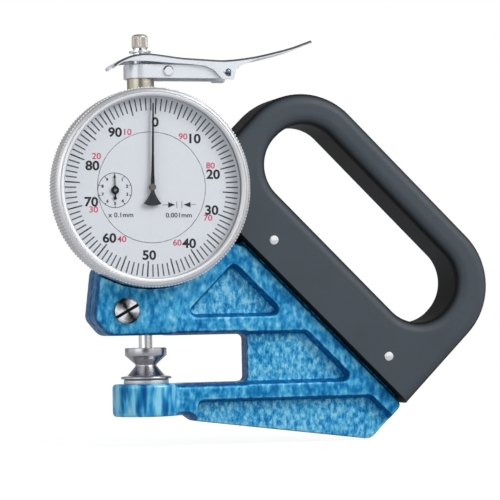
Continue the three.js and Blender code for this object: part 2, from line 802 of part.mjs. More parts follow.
// Bezel: a knurled ring that turns on the case's neck and holds the crystal and the outer scale
function bezel() {
  const bore = neckRadius + seatGap;
  const scaleBack = -(dialFace - dialThickness);
  const crystalBack = -(bezelFront - bezelLipDepth - crystalThickness);
  const knurlBack = -bezelBack - bezelRearChamfer - knurlBackMargin;
  const knurlFront = -bezelFront + bezelChamfer + knurlFrontMargin;
  const waist = bezelRadius - 2 * knurlDepth;
  const collar = bezelRadius - knurlDepth;
  const core = turnedY(
    [
      [bore, -bezelBack],
      [bezelRadius - bezelRearChamfer, -bezelBack],
      [bezelRadius, -bezelBack - bezelRearChamfer],
      [bezelRadius, knurlBack],
      [waist, knurlBack],
      [waist, knurlFront],
      [collar, knurlFront],
      [collar, -bezelFront + bezelChamfer],
      [collar - bezelChamfer, -bezelFront],
      [bezelLip, -bezelFront],
      [bezelLip, -bezelFront + bezelLipDepth],
      [crystalRadius + seatGap, -bezelFront + bezelLipDepth],
      [crystalRadius + seatGap, crystalBack],
      [ringRadius + seatGap, crystalBack],
      [ringRadius + seatGap, scaleBack],
      [bore, scaleBack],
    ],
    dialCentre,
    bigRoundFacets,
  );
  const edge = Array.from({ length: 2 * knurlCount }, (_, i) =>
    aroundDial(bezelRadius - (i % 2 ? knurlDepth : 0), (Math.PI * i) / knurlCount),
  );
  const hole = [...dialCentre, waist - knurlDepth, hiddenRoundFacets];
  return join(core, plateOf(edge, knurlFront, knurlBack, [hole]));
}

function crystal() {
  const front = -(bezelFront - bezelLipDepth);
  return rodY(crystalRadius, front, front + crystalThickness, dialCentre, bigRoundFacets);
}

function dialRing() {
  const [front, back] = [-dialFace, -(dialFace - dialThickness)];
  const inner = innerDiscRadius + discGap;
  const profile = [
    [inner, front],
    [ringRadius, front],
    [ringRadius, back],
    [inner, back],
  ];
  return turnedY(profile, dialCentre, bigRoundFacets);
}

// The fixed middle of the dial, on a ring that stands on the front plate
function dialCentreDisc() {
  const rim = innerDiscRadius;
  const back = -(dialFace - dialThickness);
  const foot = innerDiscRadius - 2 * arborRadius;
  const disc = turnedY(
    [
      [0, -dialFace],
      [rim, -dialFace],
      [rim, back],
      [foot, back],
      [foot, -plateFront],
      [foot - 2 * arborRadius, -plateFront],
      [foot - 2 * arborRadius, back],
      [0, back],
    ],
    dialCentre,
    hiddenRoundFacets,
  );
  const through = [-dialFace - overrun, -plateFront + overrun];
  const bores = [dialCentre, secondCentre].map((centre) =>
    rodY(arborRadius + seatGap, ...through, centre, fineRoundFacets),
  );
  return cut(disc, ...bores);
}

// Gear places: the small hand's arbor stands beside the centre pinion, and the rack arbor stands at
// its pinion's pitch radius from the rack
const secondCentre = aroundDial(smallDialReach, subDialTurn);
const rackPinionRadius = (rackPitch * rackPinionTeeth) / (2 * Math.PI);
const rackArborX = rackPitchLine + rackPinionRadius;
const rackCentre = [rackArborX, secondCentre[1] - rackDrop];
const rackReach = Math.hypot(rackArborX - secondCentre[0], rackDrop);
const meshModule = (distance) => (2 * distance) / (wheelTeeth + pinionTeeth);
const fineModule = meshModule(smallDialReach);
const rackModule = meshModule(rackReach);

// A gear's outline: four points to a tooth, with a tooth's middle at the phase
function gearOutline([x, z], teeth, module, phase) {
  const pitch = (2 * Math.PI) / teeth;
  const pitchRadius = (module * teeth) / 2;
  const tip = pitchRadius + addendumShare * module;
  const root = pitchRadius - dedendumShare * module;
  const rootShare = 2 * toothThicknessShare - toothTipShare;
  return Array.from({ length: teeth }, (_, i) => phase + i * pitch).flatMap((middle) =>
    [
      [root, -rootShare],
      [tip, -toothTipShare],
      [tip, toothTipShare],
      [root, rootShare],
    ].map(([radius, share]) => {
      const turn = middle + (share * pitch) / 2;
      return [x + radius * Math.cos(turn), z + radius * Math.sin(turn)];
    }),
  );
}

// The phase that puts a second gear's teeth into the gaps of the first
function meshPhase(phase, teeth, from, to, teethOther) {
  const direction = Math.atan2(to[1] - from[1], to[0] - from[0]);
  const share = ((direction - phase) * teeth) / (2 * Math.PI);
  return direction + Math.PI - ((1 / 2 - share) * 2 * Math.PI) / teethOther;
}

const centrePhase = 0;
const secondWheelPhase = meshPhase(centrePhase, pinionTeeth, dialCentre, secondCentre, wheelTeeth);
const secondPinionPhase = 0;
const rackWheelPhase = meshPhase(secondPinionPhase, pinionTeeth, secondCentre, rackCentre, wheelTeeth);
const rackPinionPhase = Math.PI + Math.PI / rackPinionTeeth;

function wheel(centre, teeth, module, phase, plane) {
  const half = wheelThickness / 2;
  const bore = arborRadius + runningGap / 2;
  const windows = Array.from({ length: wheelWindows }, (_, i) => {
    const turn = (2 * Math.PI * i) / wheelWindows;
    const reach = (module * teeth) / 4 + colletRadius / 2;
    const [x, z] = centre;
    return [x + reach * Math.cos(turn), z + reach * Math.sin(turn), (module * teeth) / 8, fineRoundFacets];
  });
  return plateOf(gearOutline(centre, teeth, module, phase), -plane - half, -plane + half, [
    [...centre, bore],
    ...windows,
  ]);
}

// An arbor with its pinion and pivots; the collet is the shoulder that carries the wheel
function arbor(centre, { from, to, pinion, teeth, module, phase, length, colletPlane }) {
  const parts = [
    rodY(arborRadius, from + plateThickness / 2, to - plateThickness / 2, centre, fineRoundFacets),
    rodY(pivotRadius, from, to, centre, fineRoundFacets),
  ];
  const leaves = [-pinion - length / 2, -pinion + length / 2];
  if (teeth)
    parts.push(plateOf(gearOutline(centre, teeth, module, phase), ...leaves));
  if (colletPlane !== undefined) {
    const seat = -colletPlane + wheelThickness / 2;
    parts.push(rodY(colletRadius, seat, seat + wheelThickness, centre, fineRoundFacets));
  }
  return join(...parts);
}

const frontPivot = -plateFront + plateThickness / 4;
const rearPivot = -rearPlateFront + plateThickness / 2;
const bridgePivot = -bridgePlane + bridgeThickness / 4;
const handPlace = -(dialFace + pointerLift + pointerThickness);
const smallHandPlace = -(dialFace + smallPointerLift + pointerThickness);

function centreArbor() {
  return arbor(dialCentre, {
    from: handPlace - pointerHubHeight / 2,
    to: bridgePivot + plateThickness / 2,
    pinion: fineWheelPlane,
    teeth: pinionTeeth,
    module: fineModule,
    phase: centrePhase,
    length: pinionLength,
  });
}

function secondArbor() {
  return arbor(secondCentre, {
    from: smallHandPlace - pointerThickness,
    to: rearPivot,
    pinion: rackWheelPlane,
    teeth: pinionTeeth,
    module: rackModule,
    phase: secondPinionPhase,
    length: pinionLength,
    colletPlane: fineWheelPlane,
  });
}

function rackArbor() {
  return arbor(rackCentre, {
    from: frontPivot,
    to: rearPivot,
    pinion: 0,
    teeth: rackPinionTeeth,
    module: rackPitch / Math.PI,
    phase: rackPinionPhase,
    length: rackPinionLength,
    colletPlane: rackWheelPlane,
  });
}

const arborHoles = [dialCentre, secondCentre, rackCentre];

const pillarHoles = pillarAngles.map((turn) => [
  ...aroundDial(pillarCircle, turn),
  pillarPegRadius + runningGap,
]);

function frontPlate() {
  const rim = roundOutline(dialCentre, plateRadius, hiddenRoundFacets);
  const holes = arborHoles.map((centre) => [...centre, arborRadius + 2 * runningGap]);
  return plateOf(rim, -plateFront, plateThickness - plateFront, [...holes, ...pillarHoles]);
}

function rearPlate() {
  const rim = roundOutline(dialCentre, rearPlateRadius, hiddenRoundFacets);
  const from = -rearPlateFront;
  const holes = [secondCentre, rackCentre].map((centre) => [...centre, arborRadius + 2 * runningGap]);
  const plate = plateOf(rim, from, from + plateThickness, [...holes, ...pillarHoles]);
  const middle = collarBottom + collarHeight / 2;
  const slot = [middle - guidePinRadius - seatGap, middle + guidePinRadius + measuringTravel + seatGap];
  const half = guidePinRadius + runningGap;
  return cut(plate, block([-half, half], [from - overrun, from + plateThickness + overrun], slot));
}

function pillar(turn) {
  const centre = aroundDial(pillarCircle, turn);
  const [from, to] = [plateThickness - plateFront, -rearPlateFront];
  return join(
    rodY(pillarRadius, from, to, centre, fineRoundFacets),
    rodY(pillarPegRadius, from - plateThickness, to + plateThickness, centre, fineRoundFacets),
  );
}

// The bridge that carries the centre arbor's rear pivot, on two feet that stand clear of the wheels
const bridgeFeet = [bridgeTurn, bridgeTurn - Math.PI / 2].map((turn) => aroundDial(bridgeReach, turn));

function trainBridge() {
  const back = bridgeThickness / 2 - bridgePlane;
  const front = back - bridgeThickness;
  const far = bridgeReach + bridgeFootRadius;
  const corners = [
    aroundDial(bridgeFootRadius, bridgeTurn + Math.PI),
    aroundDial(far, bridgeTurn - Math.PI / 2 - bridgeFootTurn),
    aroundDial(far, bridgeTurn - Math.PI / 2 + bridgeFootTurn),
    aroundDial(bridgeFootRadius * 2, bridgeTurn - Math.PI / 4),
    aroundDial(far, bridgeTurn - bridgeFootTurn),
    aroundDial(far, bridgeTurn + bridgeFootTurn),
  ];
  const plate = plateOf(corners, front, back);
  const feet = bridgeFeet.map((centre) =>
    rodY(bridgeFootRadius, plateThickness - plateFront, back, centre, fineRoundFacets),
  );
  const bore = arborRadius + 2 * runningGap;
  const through = [front - overrun, back + overrun];
  return cut(join(plate, ...feet), rodY(bore, ...through, dialCentre, fineRoundFacets));
}

// Main hand: a long needle and a fan-shaped tail on a hub
function pointer() {
  const [x, z] = dialCentre;
  const back = handPlace + pointerThickness;
  const tail = Array.from({ length: pointerTailFacets + 1 }, (_, i) => {
    const turn = -Math.PI / 2 + pointerTailHalfTurn * ((2 * i) / pointerTailFacets - 1);
    return [x + pointerTail * Math.cos(turn), z + pointerTail * Math.sin(turn)];
  });
  const outline = [
    ...tail,
    [x + pointerRootWidth / 2, z],
    [x + pointerTipWidth / 2, z + pointerReach - pointerTipWidth],
    [x, z + pointerReach],
    [x - pointerTipWidth / 2, z + pointerReach - pointerTipWidth],
    [x - pointerRootWidth / 2, z],
  ];
  const upright = new THREE.Vector2(x, z);
  const turned = outline.map((place) =>
    new THREE.Vector2(...place).rotateAround(upright, -pointerRest).toArray(),
  );
  const blade = plateOf(turned, handPlace, back);
  const hub = rodY(pointerHub, handPlace - pointerHubHeight, back + seatGap / 2, dialCentre);
  const through = [handPlace - overrun, back + overrun];
  return cut(join(blade, hub), rodY(arborRadius + runningGap / 2, ...through, dialCentre, fineRoundFacets));
}

function smallPointer() {
  const [x, z] = secondCentre;
  const back = smallHandPlace + pointerThickness;
  const outline = [
    [x - smallPointerTailWidth / 2, z - smallPointerTail],
    [x + smallPointerTailWidth / 2, z - smallPointerTail],
    [x + smallPointerWidth / 2, z],
    [x + smallPointerWidth / 2, z + smallPointerReach - smallPointerWidth],
    [x, z + smallPointerReach],
    [x - smallPointerWidth / 2, z + smallPointerReach - smallPointerWidth],
    [x - smallPointerWidth / 2, z],
  ];
  const blade = plateOf(outline, smallHandPlace, back);
  const hub = rodY(smallPointerHub, smallHandPlace, back, secondCentre, fineRoundFacets);
  const through = [smallHandPlace - overrun, back + overrun];
  return cut(join(blade, hub), rodY(arborRadius + runningGap / 2, ...through, secondCentre, fineRoundFacets));
}

// Spindle with its rack, and what it carries
function spindle() {
  const bottom = contactGap + tipHeight;
  const rackTip = rackPitchLine + (addendumShare * rackPitch) / Math.PI;
  const rackRoot = rackPitchLine - (dedendumShare * rackPitch) / Math.PI;
  const low = rackCentre[1] - rackLength / 2 - measuringTravel / 2;
  const high = low + rackLength;
  const rod = rodZ(spindleRadius, bottom, knobBottom);
  const depth = [-spindleRadius - overrun, spindleRadius + overrun];
  const flat = block([rackTip, spindleRadius + overrun], depth, [low, high]);
  const first = Math.ceil((low + rackPitch - rackCentre[1]) / rackPitch);
  const last = Math.floor((high - rackPitch - rackCentre[1]) / rackPitch);
  const halfRoot = ((1 - 2 * toothThicknessShare + toothTipShare) * rackPitch) / 2;
  const halfTip = ((1 - toothTipShare) * rackPitch) / 2;
  const gaps = Array.from({ length: last - first }, (_, i) => {
    const middle = rackCentre[1] + (first + i + 1 / 2) * rackPitch;
    return plateOf(
      [
        [rackRoot, middle - halfRoot],
        [rackTip + (rackTip - rackRoot) / 4, middle - halfTip],
        [rackTip + (rackTip - rackRoot) / 4, middle + halfTip],
        [rackRoot, middle + halfRoot],
      ],
      ...depth,
    );
  });
  const stud = rodZ(tipStudRadius + runningGap, bottom - overrun, bottom + tipStudLength, fineRoundFacets);
  const neck = rodZ(knobNeckRadius, knobBottom, knobTop - 2 * knobChamfer, fineRoundFacets);
  return cut(join(rod, neck), flat, stud, ...gaps);
}

function contactTip() {
  const at = (height) => contactGap + height;
  return turnedZ([
    [0, at(0)],
    [tipFlangeRadius - tipChamfer, at(0)],
    [tipFlangeRadius, at(tipChamfer)],
    [tipFlangeRadius, at(tipFlangeHeight)],
    [tipConeRadius, at(tipConeBottom)],
    [tipWaistRadius, at(tipWaistHeight - tipChamfer)],
    [tipWaistRadius, at(tipWaistHeight + tipChamfer)],
    [tipDiscRadius, at(tipDiscBottom)],
    [tipDiscRadius, at(tipHeight - tipChamfer)],
    [tipDiscRadius - tipChamfer, at(tipHeight)],
    [tipStudRadius, at(tipHeight)],
    [tipStudRadius, at(tipHeight + tipStudLength - seatGap)],
    [0, at(tipHeight + tipStudLength - seatGap)],
  ]);
}

function springCollar() {
  const top = collarBottom + collarHeight;
  const ring = turnedZ([
    [spindleRadius + runningGap / 2, collarBottom],
    [collarRadius, collarBottom],
    [collarRadius, top],
    [spindleRadius + runningGap / 2, top],
  ]);
  const middle = collarBottom + collarHeight / 2;
  const depth = [0, collarRadius + overrun];
  return cut(ring, rodY(guidePinRadius + runningGap / 2, ...depth, [0, middle], fineRoundFacets));
}

function guidePin() {
  const middle = collarBottom + collarHeight / 2;
  return rodY(guidePinRadius, spindleRadius + runningGap, guidePinReach, [0, middle], fineRoundFacets);
}

// The compression spring round the spindle, from the collar to the case's top
class Helix extends THREE.Curve {
  constructor(radius, bottom, rise, turns) {
    super();
    Object.assign(this, { radius, bottom, rise, turns });
  }
  getPoint(t) {
    const turn = 2 * Math.PI * this.turns * t;
    const height = this.bottom + this.rise * t;
    return new THREE.Vector3(this.radius * Math.cos(turn), this.radius * Math.sin(turn), height);
  }
}

function returnSpring() {
  const bottom = collarBottom + collarHeight + springWire;
  const top = Math.sqrt((caseRadius - caseWall) ** 2 - springRadius ** 2) + dialHeight - springWire;
  const path = new Helix(springRadius, bottom, top - bottom, springTurns);
  const wire = roundOutline([0, 0], springWire / 2, springFacets);
  const section = new THREE.Shape(wire.map(([x, y]) => new THREE.Vector2(x, y)));
  return solidOf(new THREE.ExtrudeGeometry(section, { steps: springTurns * springSteps, extrudePath: path }));
}

function liftWasher() {
  const inner = spindleRadius + runningGap / 2;
  return turnedZ([
    [inner, washerBottom],
    [washerRadius - tipChamfer, washerBottom],
    [washerRadius, washerBottom + washerThickness / 2],
    [washerRadius - tipChamfer, washerBottom + washerThickness],
    [inner, washerBottom + washerThickness],
  ]);
}

function liftKnob() {
  const bore = knobNeckRadius + runningGap / 2;
  const body = turnedZ([
    [0, knobTop],
    [knobRadius - knobChamfer - knobFluteDepth, knobTop],
    [knobRadius - knobFluteDepth, knobTop - knobChamfer],
    [knobRadius - knobFluteDepth, knobBottom],
    [0, knobBottom],
  ]);
  const flutes = Array.from({ length: 2 * knobFlutes }, (_, i) => {
    const radius = knobRadius - (i % 2 ? knobFluteDepth : 0);
    const turn = (Math.PI * i) / knobFlutes;
    return new THREE.Vector2(radius * Math.cos(turn), radius * Math.sin(turn));
  });
  const height = knobTop - knobBottom - knobChamfer * 2;
  const band = new THREE.ExtrudeGeometry(new THREE.Shape(flutes), { depth: height, bevelEnabled: false });
  const grip = solidOf(band.translate(0, 0, knobBottom + knobChamfer));
  return cut(join(body, grip), rodZ(bore, knobBottom - overrun, knobTop - knobChamfer, fineRoundFacets));
}

// Lever bracket: a strap bent round the top bush, with two cheeks that reach the lever's pivot
function leverBracket() {
  const inner = bracketFace - sheet;
  const outer = bracketFace;
  const bend = (radius) =>
    Array.from({ length: bracketBendFacets + 1 }, (_, i) => {
      const turn = Math.PI / 2 + (Math.PI * i) / bracketBendFacets;
      return new THREE.Vector2(radius * Math.cos(turn), radius * Math.sin(turn));
    });
  const shape = new THREE.Shape([
    ...bend(outer),
    new THREE.Vector2(bracketEnd, -outer),
    new THREE.Vector2(bracketEnd, -inner),
    ...bend(inner).reverse(),
    new THREE.Vector2(bracketEnd, inner),
    new THREE.Vector2(bracketEnd, outer),
  ]);
  const strap = new THREE.ExtrudeGeometry(shape, { depth: 2 * strapHalf, bevelEnabled: false });
  const strapTop = pivotHeight + strapHalf;
  const far = pivotX + strapHalf;
  const corner = plateOf(
    [
      [far - sheet, strapTop + overrun],
      [far - sheet, strapTop - sheet / 2],
      [far, pivotHeight],
      [bracketEnd + overrun, pivotHeight],
      [bracketEnd + overrun, strapTop + overrun],
    ].reverse(),
    -outer - overrun,
    outer + overrun,
  );
  const through = [-outer - overrun, outer + overrun];
  return cut(
    solidOf(strap.translate(0, 0, pivotHeight - strapHalf)),
    corner,
    rodY(leverPinRadius + runningGap, ...through, [pivotX, pivotHeight], fineRoundFacets),
    rodY(bracketScrewRadius + runningGap, ...through, [bracketScrewX, bracketScrewHeight], fineRoundFacets),
  );
}

function bracketScrew() {
  const end = bracketFace + bracketNutHeight + sheet / 3;
  return turnedY(
    [
      [0, -bracketFace - bracketScrewHeadHeight],
      [bracketScrewHead - sheet / 3, -bracketFace - bracketScrewHeadHeight],
      [bracketScrewHead, -bracketFace - bracketScrewHeadHeight + sheet / 3],
      [bracketScrewHead, -bracketFace],
      [bracketScrewRadius, -bracketFace],
      [bracketScrewRadius, end],
      [0, end],
    ],
    [bracketScrewX, bracketScrewHeight],
    fineRoundFacets,
  );
}

function bracketNut() {
  const radius = bracketNutAcross / 2 / Math.cos(Math.PI / bracketNutSides);
  const centre = [bracketScrewX, bracketScrewHeight];
  const rim = roundOutline(centre, radius, bracketNutSides);
  const hole = [...centre, bracketScrewRadius + runningGap];
  return plateOf(rim, bracketFace, bracketFace + bracketNutHeight, [hole]);
}

function leverPin() {
  const end = leverHalf + sheet / 3;
  const edge = sheet / 3;
  return turnedY(
    [
      [0, -end],
      [leverPinRadius - edge, -end],
      [leverPinRadius, -end + edge],
      [leverPinRadius, end - edge],
      [leverPinRadius - edge, end],
      [0, end],
    ],
    [pivotX, pivotHeight],
    fineRoundFacets,
  );
}

// Lift lever: a formed sheet with a fork under the washer, two cheeks and a thumb end
const fromShares = (shares) => shares.map(([x, z]) => [pivotX * x, pivotHeight + pivotX * z]);

function liftLever() {
  const [topLine, cheekLine] = [leverTopShares, cheekShares].map(fromShares);
  const line = new THREE.SplineCurve(topLine.map(([x, z]) => new THREE.Vector2(x, z)));
  const top = line.getPoints(2 * topLine.length);
  const under = top.map((point, i) => {
    const along = top[Math.min(i + 1, top.length - 1)].clone().sub(top[Math.max(i - 1, 0)]).normalize();
    return new THREE.Vector2(point.x + along.y * sheet, point.y - along.x * sheet);
  });
  const asOutline = (points) => points.map((point) => [point.x, point.y]);
  const blade = plateOf([...asOutline(under), ...asOutline(top).reverse()], -leverHalf, leverHalf);
  const [cheekStart, cheekStop] = [cheekLine[0][0], cheekLine.at(-1)[0]];
  const middle = top.map((point, i) => point.clone().lerp(under[i], 1 / 2));
  const upper = middle.filter((point) => point.x > cheekStart && point.x < cheekStop);
  const cheekOutline = [...cheekLine, ...asOutline(upper).reverse()];
  const cheeks = [
    plateOf(cheekOutline, -leverHalf, -leverHalf + leverCheek),
    plateOf(cheekOutline, leverHalf - leverCheek, leverHalf),
  ];
  const depth = [-leverHalf - overrun, leverHalf + overrun];
  const [tipX, tipZ] = topLine[0];
  const slot = [tipX - overrun, forkEnd];
  const fork = block(slot, [-forkSlot, forkSlot], [tipZ - overrun, washerBottom + overrun]);
  const hole = rodY(leverPinRadius + runningGap, ...depth, [pivotX, pivotHeight], fineRoundFacets);
  return cut(join(blade, ...cheeks), fork, hole);
}

// Colours and finishes
const finish = (color, roughness, metalness) =>
  new THREE.MeshStandardMaterial({ color, roughness, metalness });
const hammeredBlue = finish(0x1173b0, 0.45, 0.35);
const blackMoulding = finish(0x4a5157, 0.5, 0);
const steel = finish(0xc4c6c8, 0.25, 1);
const darkSteel = finish(0x8f9092, 0.35, 1);
const polishedSteel = finish(0xd4d7db, 0.15, 1);
const brass = finish(0xb5a46c, 0.3, 1);
const satinSilver = finish(0xc3c5ca, 0.4, 0.9);
const dialPaint = finish(0xd0d5dc, 0.6, 0);
const handBlack = finish(0x17181b, 0.5, 0.2);
const clear = finish(0xffffff, 0.05, 0);
clear.transparent = true;
clear.opacity = 0.2;

function piece(name, solid, material) {
  const mesh = new THREE.Mesh(geometryOf(solid.translate(0, 0, armBottom)), material);
  mesh.name = name;
  return mesh;
}

const group = (...members) => new THREE.Group().add(...members);

const frameGroup = group(
  piece("frame_casting", frameCasting(), hammeredBlue),
  piece("handle_grip", gripMoulding(), blackMoulding),
  piece("handle_pin_upper", gripPin(pinNear), polishedSteel),
  piece("handle_pin_lower", gripPin(pinFar), polishedSteel),
  piece("fixed_anvil", anvil(), darkSteel),
  piece("stem_clamp_screw", clampScrew(), steel),
);

const caseGroup = group(
  piece("case_body", caseBody(), satinSilver),
  piece("case_cover", caseCover(), satinSilver),
  ...coverScrewPlaces.map((centre, i) => piece("cover_screw_" + (i + 1), coverScrew(centre), steel)),
  piece("stem", stem(), satinSilver),
  piece("top_bush", topBush(), brass),
  piece("dial_centre", dialCentreDisc(), dialPaint),
);

const movementGroup = group(
  piece("front_plate", frontPlate(), brass),
  piece("rear_plate", rearPlate(), brass),
  ...pillarAngles.map((turn, i) => piece("plate_pillar_" + (i + 1), pillar(turn), brass)),
  piece("train_bridge", trainBridge(), brass),
  piece("rack_arbor", rackArbor(), darkSteel),
  piece("rack_wheel", wheel(rackCentre, wheelTeeth, rackModule, rackWheelPhase, rackWheelPlane), brass),
  piece("second_arbor", secondArbor(), darkSteel),
  piece("second_wheel", wheel(secondCentre, wheelTeeth, fineModule, secondWheelPhase, fineWheelPlane), brass),
  piece("centre_arbor", centreArbor(), darkSteel),
  piece("pointer", pointer(), handBlack),
  piece("small_pointer", smallPointer(), handBlack),
);

const bezelGroup = group(
  piece("bezel", bezel(), satinSilver),
  piece("crystal", crystal(), clear),
  piece("dial_ring", dialRing(), dialPaint),
);

const spindleGroup = group(
  piece("spindle", spindle(), polishedSteel),
  piece("contact_tip", contactTip(), darkSteel),
  piece("spring_collar", springCollar(), brass),
  piece("guide_pin", guidePin(), steel),
  piece("return_spring", returnSpring(), steel),
  piece("lift_washer", liftWasher(), polishedSteel),
  piece("lift_knob", liftKnob(), darkSteel),
);

const leverGroup = group(
  piece("lever_bracket", leverBracket(), polishedSteel),
  piece("bracket_screw", bracketScrew(), polishedSteel),
  piece("bracket_nut", bracketNut(), steel),
  piece("lever_pin", leverPin(), darkSteel),
  piece("lift_lever", liftLever(), polishedSteel),
);

export default group(frameGroup, caseGroup, movementGroup, bezelGroup, spindleGroup, leverGroup);
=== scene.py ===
"""Dress a hand-held dial thickness gauge: its cast frame, grip, dial gauge, spindle and lift lever."""

import math
from contextlib import contextmanager

import bmesh
import bpy
from bpy.props import FloatProperty, FloatVectorProperty, IntProperty, PointerProperty
from mathutils import Matrix, Vector


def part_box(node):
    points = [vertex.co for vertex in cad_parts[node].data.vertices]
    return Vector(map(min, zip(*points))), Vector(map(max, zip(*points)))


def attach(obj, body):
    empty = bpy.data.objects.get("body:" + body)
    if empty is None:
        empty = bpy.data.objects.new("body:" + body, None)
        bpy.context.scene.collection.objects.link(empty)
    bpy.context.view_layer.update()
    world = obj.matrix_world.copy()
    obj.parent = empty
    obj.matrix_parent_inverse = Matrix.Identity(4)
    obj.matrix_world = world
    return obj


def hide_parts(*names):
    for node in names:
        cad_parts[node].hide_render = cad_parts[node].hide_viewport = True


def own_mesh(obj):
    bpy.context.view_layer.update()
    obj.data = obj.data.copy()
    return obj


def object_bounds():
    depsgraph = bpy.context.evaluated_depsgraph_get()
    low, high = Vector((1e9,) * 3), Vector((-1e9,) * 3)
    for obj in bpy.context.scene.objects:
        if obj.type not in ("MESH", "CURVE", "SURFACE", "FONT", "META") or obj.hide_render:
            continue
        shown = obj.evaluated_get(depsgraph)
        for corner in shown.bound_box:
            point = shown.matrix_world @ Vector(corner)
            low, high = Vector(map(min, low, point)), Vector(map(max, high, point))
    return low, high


bl_info = {
    "name": "Dial Thickness Gauge",
    "version": (1, 0, 0),
    "blender": (4, 5, 0),
    "location": "View3D > Sidebar > Gauge",
    "description": "Builds the pieces, finishes and stage of a hand-held dial thickness gauge",
    "category": "Object",
}

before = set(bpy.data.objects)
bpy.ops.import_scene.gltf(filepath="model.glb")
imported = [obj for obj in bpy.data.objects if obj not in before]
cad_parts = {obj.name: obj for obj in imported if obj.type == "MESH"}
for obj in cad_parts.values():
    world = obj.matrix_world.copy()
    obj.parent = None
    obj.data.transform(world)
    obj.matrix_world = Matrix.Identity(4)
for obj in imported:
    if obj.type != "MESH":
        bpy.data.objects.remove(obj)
CAD_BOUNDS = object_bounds()
MM = 0.001


def place(node):
    """The middle of a CAD node's box, in millimetres."""
    low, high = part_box(node)
    return (low + high) / (2 * MM)


def span(node, axis):
    """The lowest and highest place of a CAD node along an axis, in millimetres."""
    low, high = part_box(node)
    return low[axis] / MM, high[axis] / MM


X, Y, Z = 0, 1, 2
DIAL = (place("bezel").x, place("bezel").z)
SMALL_DIAL = (place("second_arbor").x, place("second_arbor").z)
DIAL_FACE = span("dial_centre", Y)[0]


def tone(code):
    """A colour written as a hex code, as the linear values that Blender takes."""
    parts = [int(code[i : i + 2], 16) / 255 for i in (0, 2, 4)]
    return tuple(c / 12.92 if c <= 0.04045 else ((c + 0.055) / 1.055) ** 2.4 for c in parts)


def length_property(name, description, default):
    """A size in millimetres for a property group."""
    return FloatProperty(name=name, description=description, default=default, min=0, precision=3)


def count_property(name, description, default, least):
    """A number of like things for a property group."""
    return IntProperty(name=name, description=description, default=default, min=least)


def level_property(name, description, default):
    """A strength, a share or a power for a property group."""
    return FloatProperty(name=name, description=description, default=default, min=0)


def angle_property(name, description, degrees):
    """An angle for a property group."""
    return FloatProperty(name=name, description=description, default=math.radians(degrees), subtype="ANGLE")


def colour_property(name, description, code):
    """A colour for a property group."""
    return FloatVectorProperty(
        name=name, description=description, default=tone(code), size=3, min=0, max=1, subtype="COLOR"
    )


class GaugeFrameSettings(bpy.types.PropertyGroup):
    """Casting and grip."""

    voxel: length_property("Voxel", "Fineness of the casting's skin", 0.36)
    smoothing: count_property("Smoothing", "Passes that ease the casting's skin", 9, 0)
    # The dark tone shows in the blotches' gaps and in the painted shade of walls and hollows; the bright tone
    # also in the painted highlight on ridges.
    paint_dark: colour_property("Dark paint", "Tone of the paint in its hollows", "0A5088")
    paint: colour_property("Paint", "Middle tone of the hammered paint", "147CB7")
    paint_light: colour_property("Light paint", "Tone of the paint's blotches", "46A7D5")
    paint_bright: colour_property("Bright paint", "Tone of the blotches' middles", "8ACEE9")
    blotch: length_property("Blotch", "Size of the paint's blotches on the ribs and the head", 1.5)
    web_blotch: length_property("Web blotch", "Size of the blotches on the sunk webs", 1.0)
    # Lit and shaded copies of the black moulding: a painted sheen on the flat faces, painted shade on the
    # rounded edges.
    moulding: colour_property("Moulding", "Colour of the grip's flat faces", "444B52")
    moulding_edge: colour_property("Moulding edge", "Colour of the grip's rounded edges", "121416")
    grip_edge: length_property("Grip edge", "Rounding along the grip's edges", 3.5)
    grip_corner: length_property("Grip corner", "Radius of the grip's outer corners", 20.7)
    hole_corner: length_property("Hole corner", "Radius of the hand hole's corners", 11.6)
    hole_near: length_property("Hole near end", "From the grip's upper end to the hand hole", 9.3)
    hole_far: length_property("Hole far end", "From the hand hole to the grip's lower end", 10.5)
    hole_low: length_property("Hole low side", "From the frame's diagonal to the hand hole", 16.7)
    hole_high: length_property("Hole high side", "From the hand hole to the grip's outer side", 9.0)


class GaugeDialSettings(bpy.types.PropertyGroup):
    """Bezel, scales and hands."""

    knurls: count_property("Knurls", "Ridges round the bezel", 184, 3)
    knurl_height: length_property("Knurl height", "How far a ridge stands out", 0.34)
    groove_in: length_property("Groove", "From the bezel's rim to its groove", 1.5)
    divisions: count_property("Divisions", "Marks round the outer scale", 100, 10)
    scale_turn: angle_property("Scale turn", "How far the outer scale is turned clockwise", 3.95)
    scale_radius: length_property("Scale radius", "Outer end of the marks", 25.86)
    mark: length_property("Mark", "Length of a plain mark", 3.6)
    long_mark: length_property("Long mark", "Length of every fifth mark", 4.6)
    mark_width: length_property("Mark width", "Width of a mark", 0.38)
    numeral: length_property("Numeral", "Height of a black numeral", 2.85)
    numeral_lean: angle_property("Numeral lean", "How far the numerals lean clockwise", 1.2)
    back_numeral: length_property("Back numeral", "Height of a red numeral", 1.8)
    small_radius: length_property("Small dial radius", "Circle of the small dial", 5.0)
    small_divisions: count_property("Small divisions", "Marks of the small dial", 10, 2)
    hub_radius: length_property("Hub radius", "Radius of the pointer's hub", 0.95)
    small_hub_radius: length_property("Small hub radius", "Radius of the small pointer's hub", 1.15)
    pointer_lean: angle_property("Pointer lean", "How far the pointer leans clockwise at rest", 1.4)
    enamel: colour_property("Dial", "Colour of the dial", "D6DAE0")
    ink: colour_property("Ink", "Colour of the black marks", "1E2024")
    mark_ink: colour_property("Mark ink", "Colour of the outer scale's marks", "50545A")
    hub: colour_property("Hub", "Colour of the pointer's hub", "6A6057")
    tail: colour_property("Tail", "Colour of the pointer's tail", "2E3136")
    red_ink: colour_property("Red ink", "Colour of the red numerals", "CC4468")
    silver: colour_property("Silver", "Colour of the bezel and the case", "DFE5EE")
    brass: colour_property("Brass", "Colour of the movement", "B9A874")
    nickel: colour_property("Nickel", "Colour of the top bush", "BAB4A4")


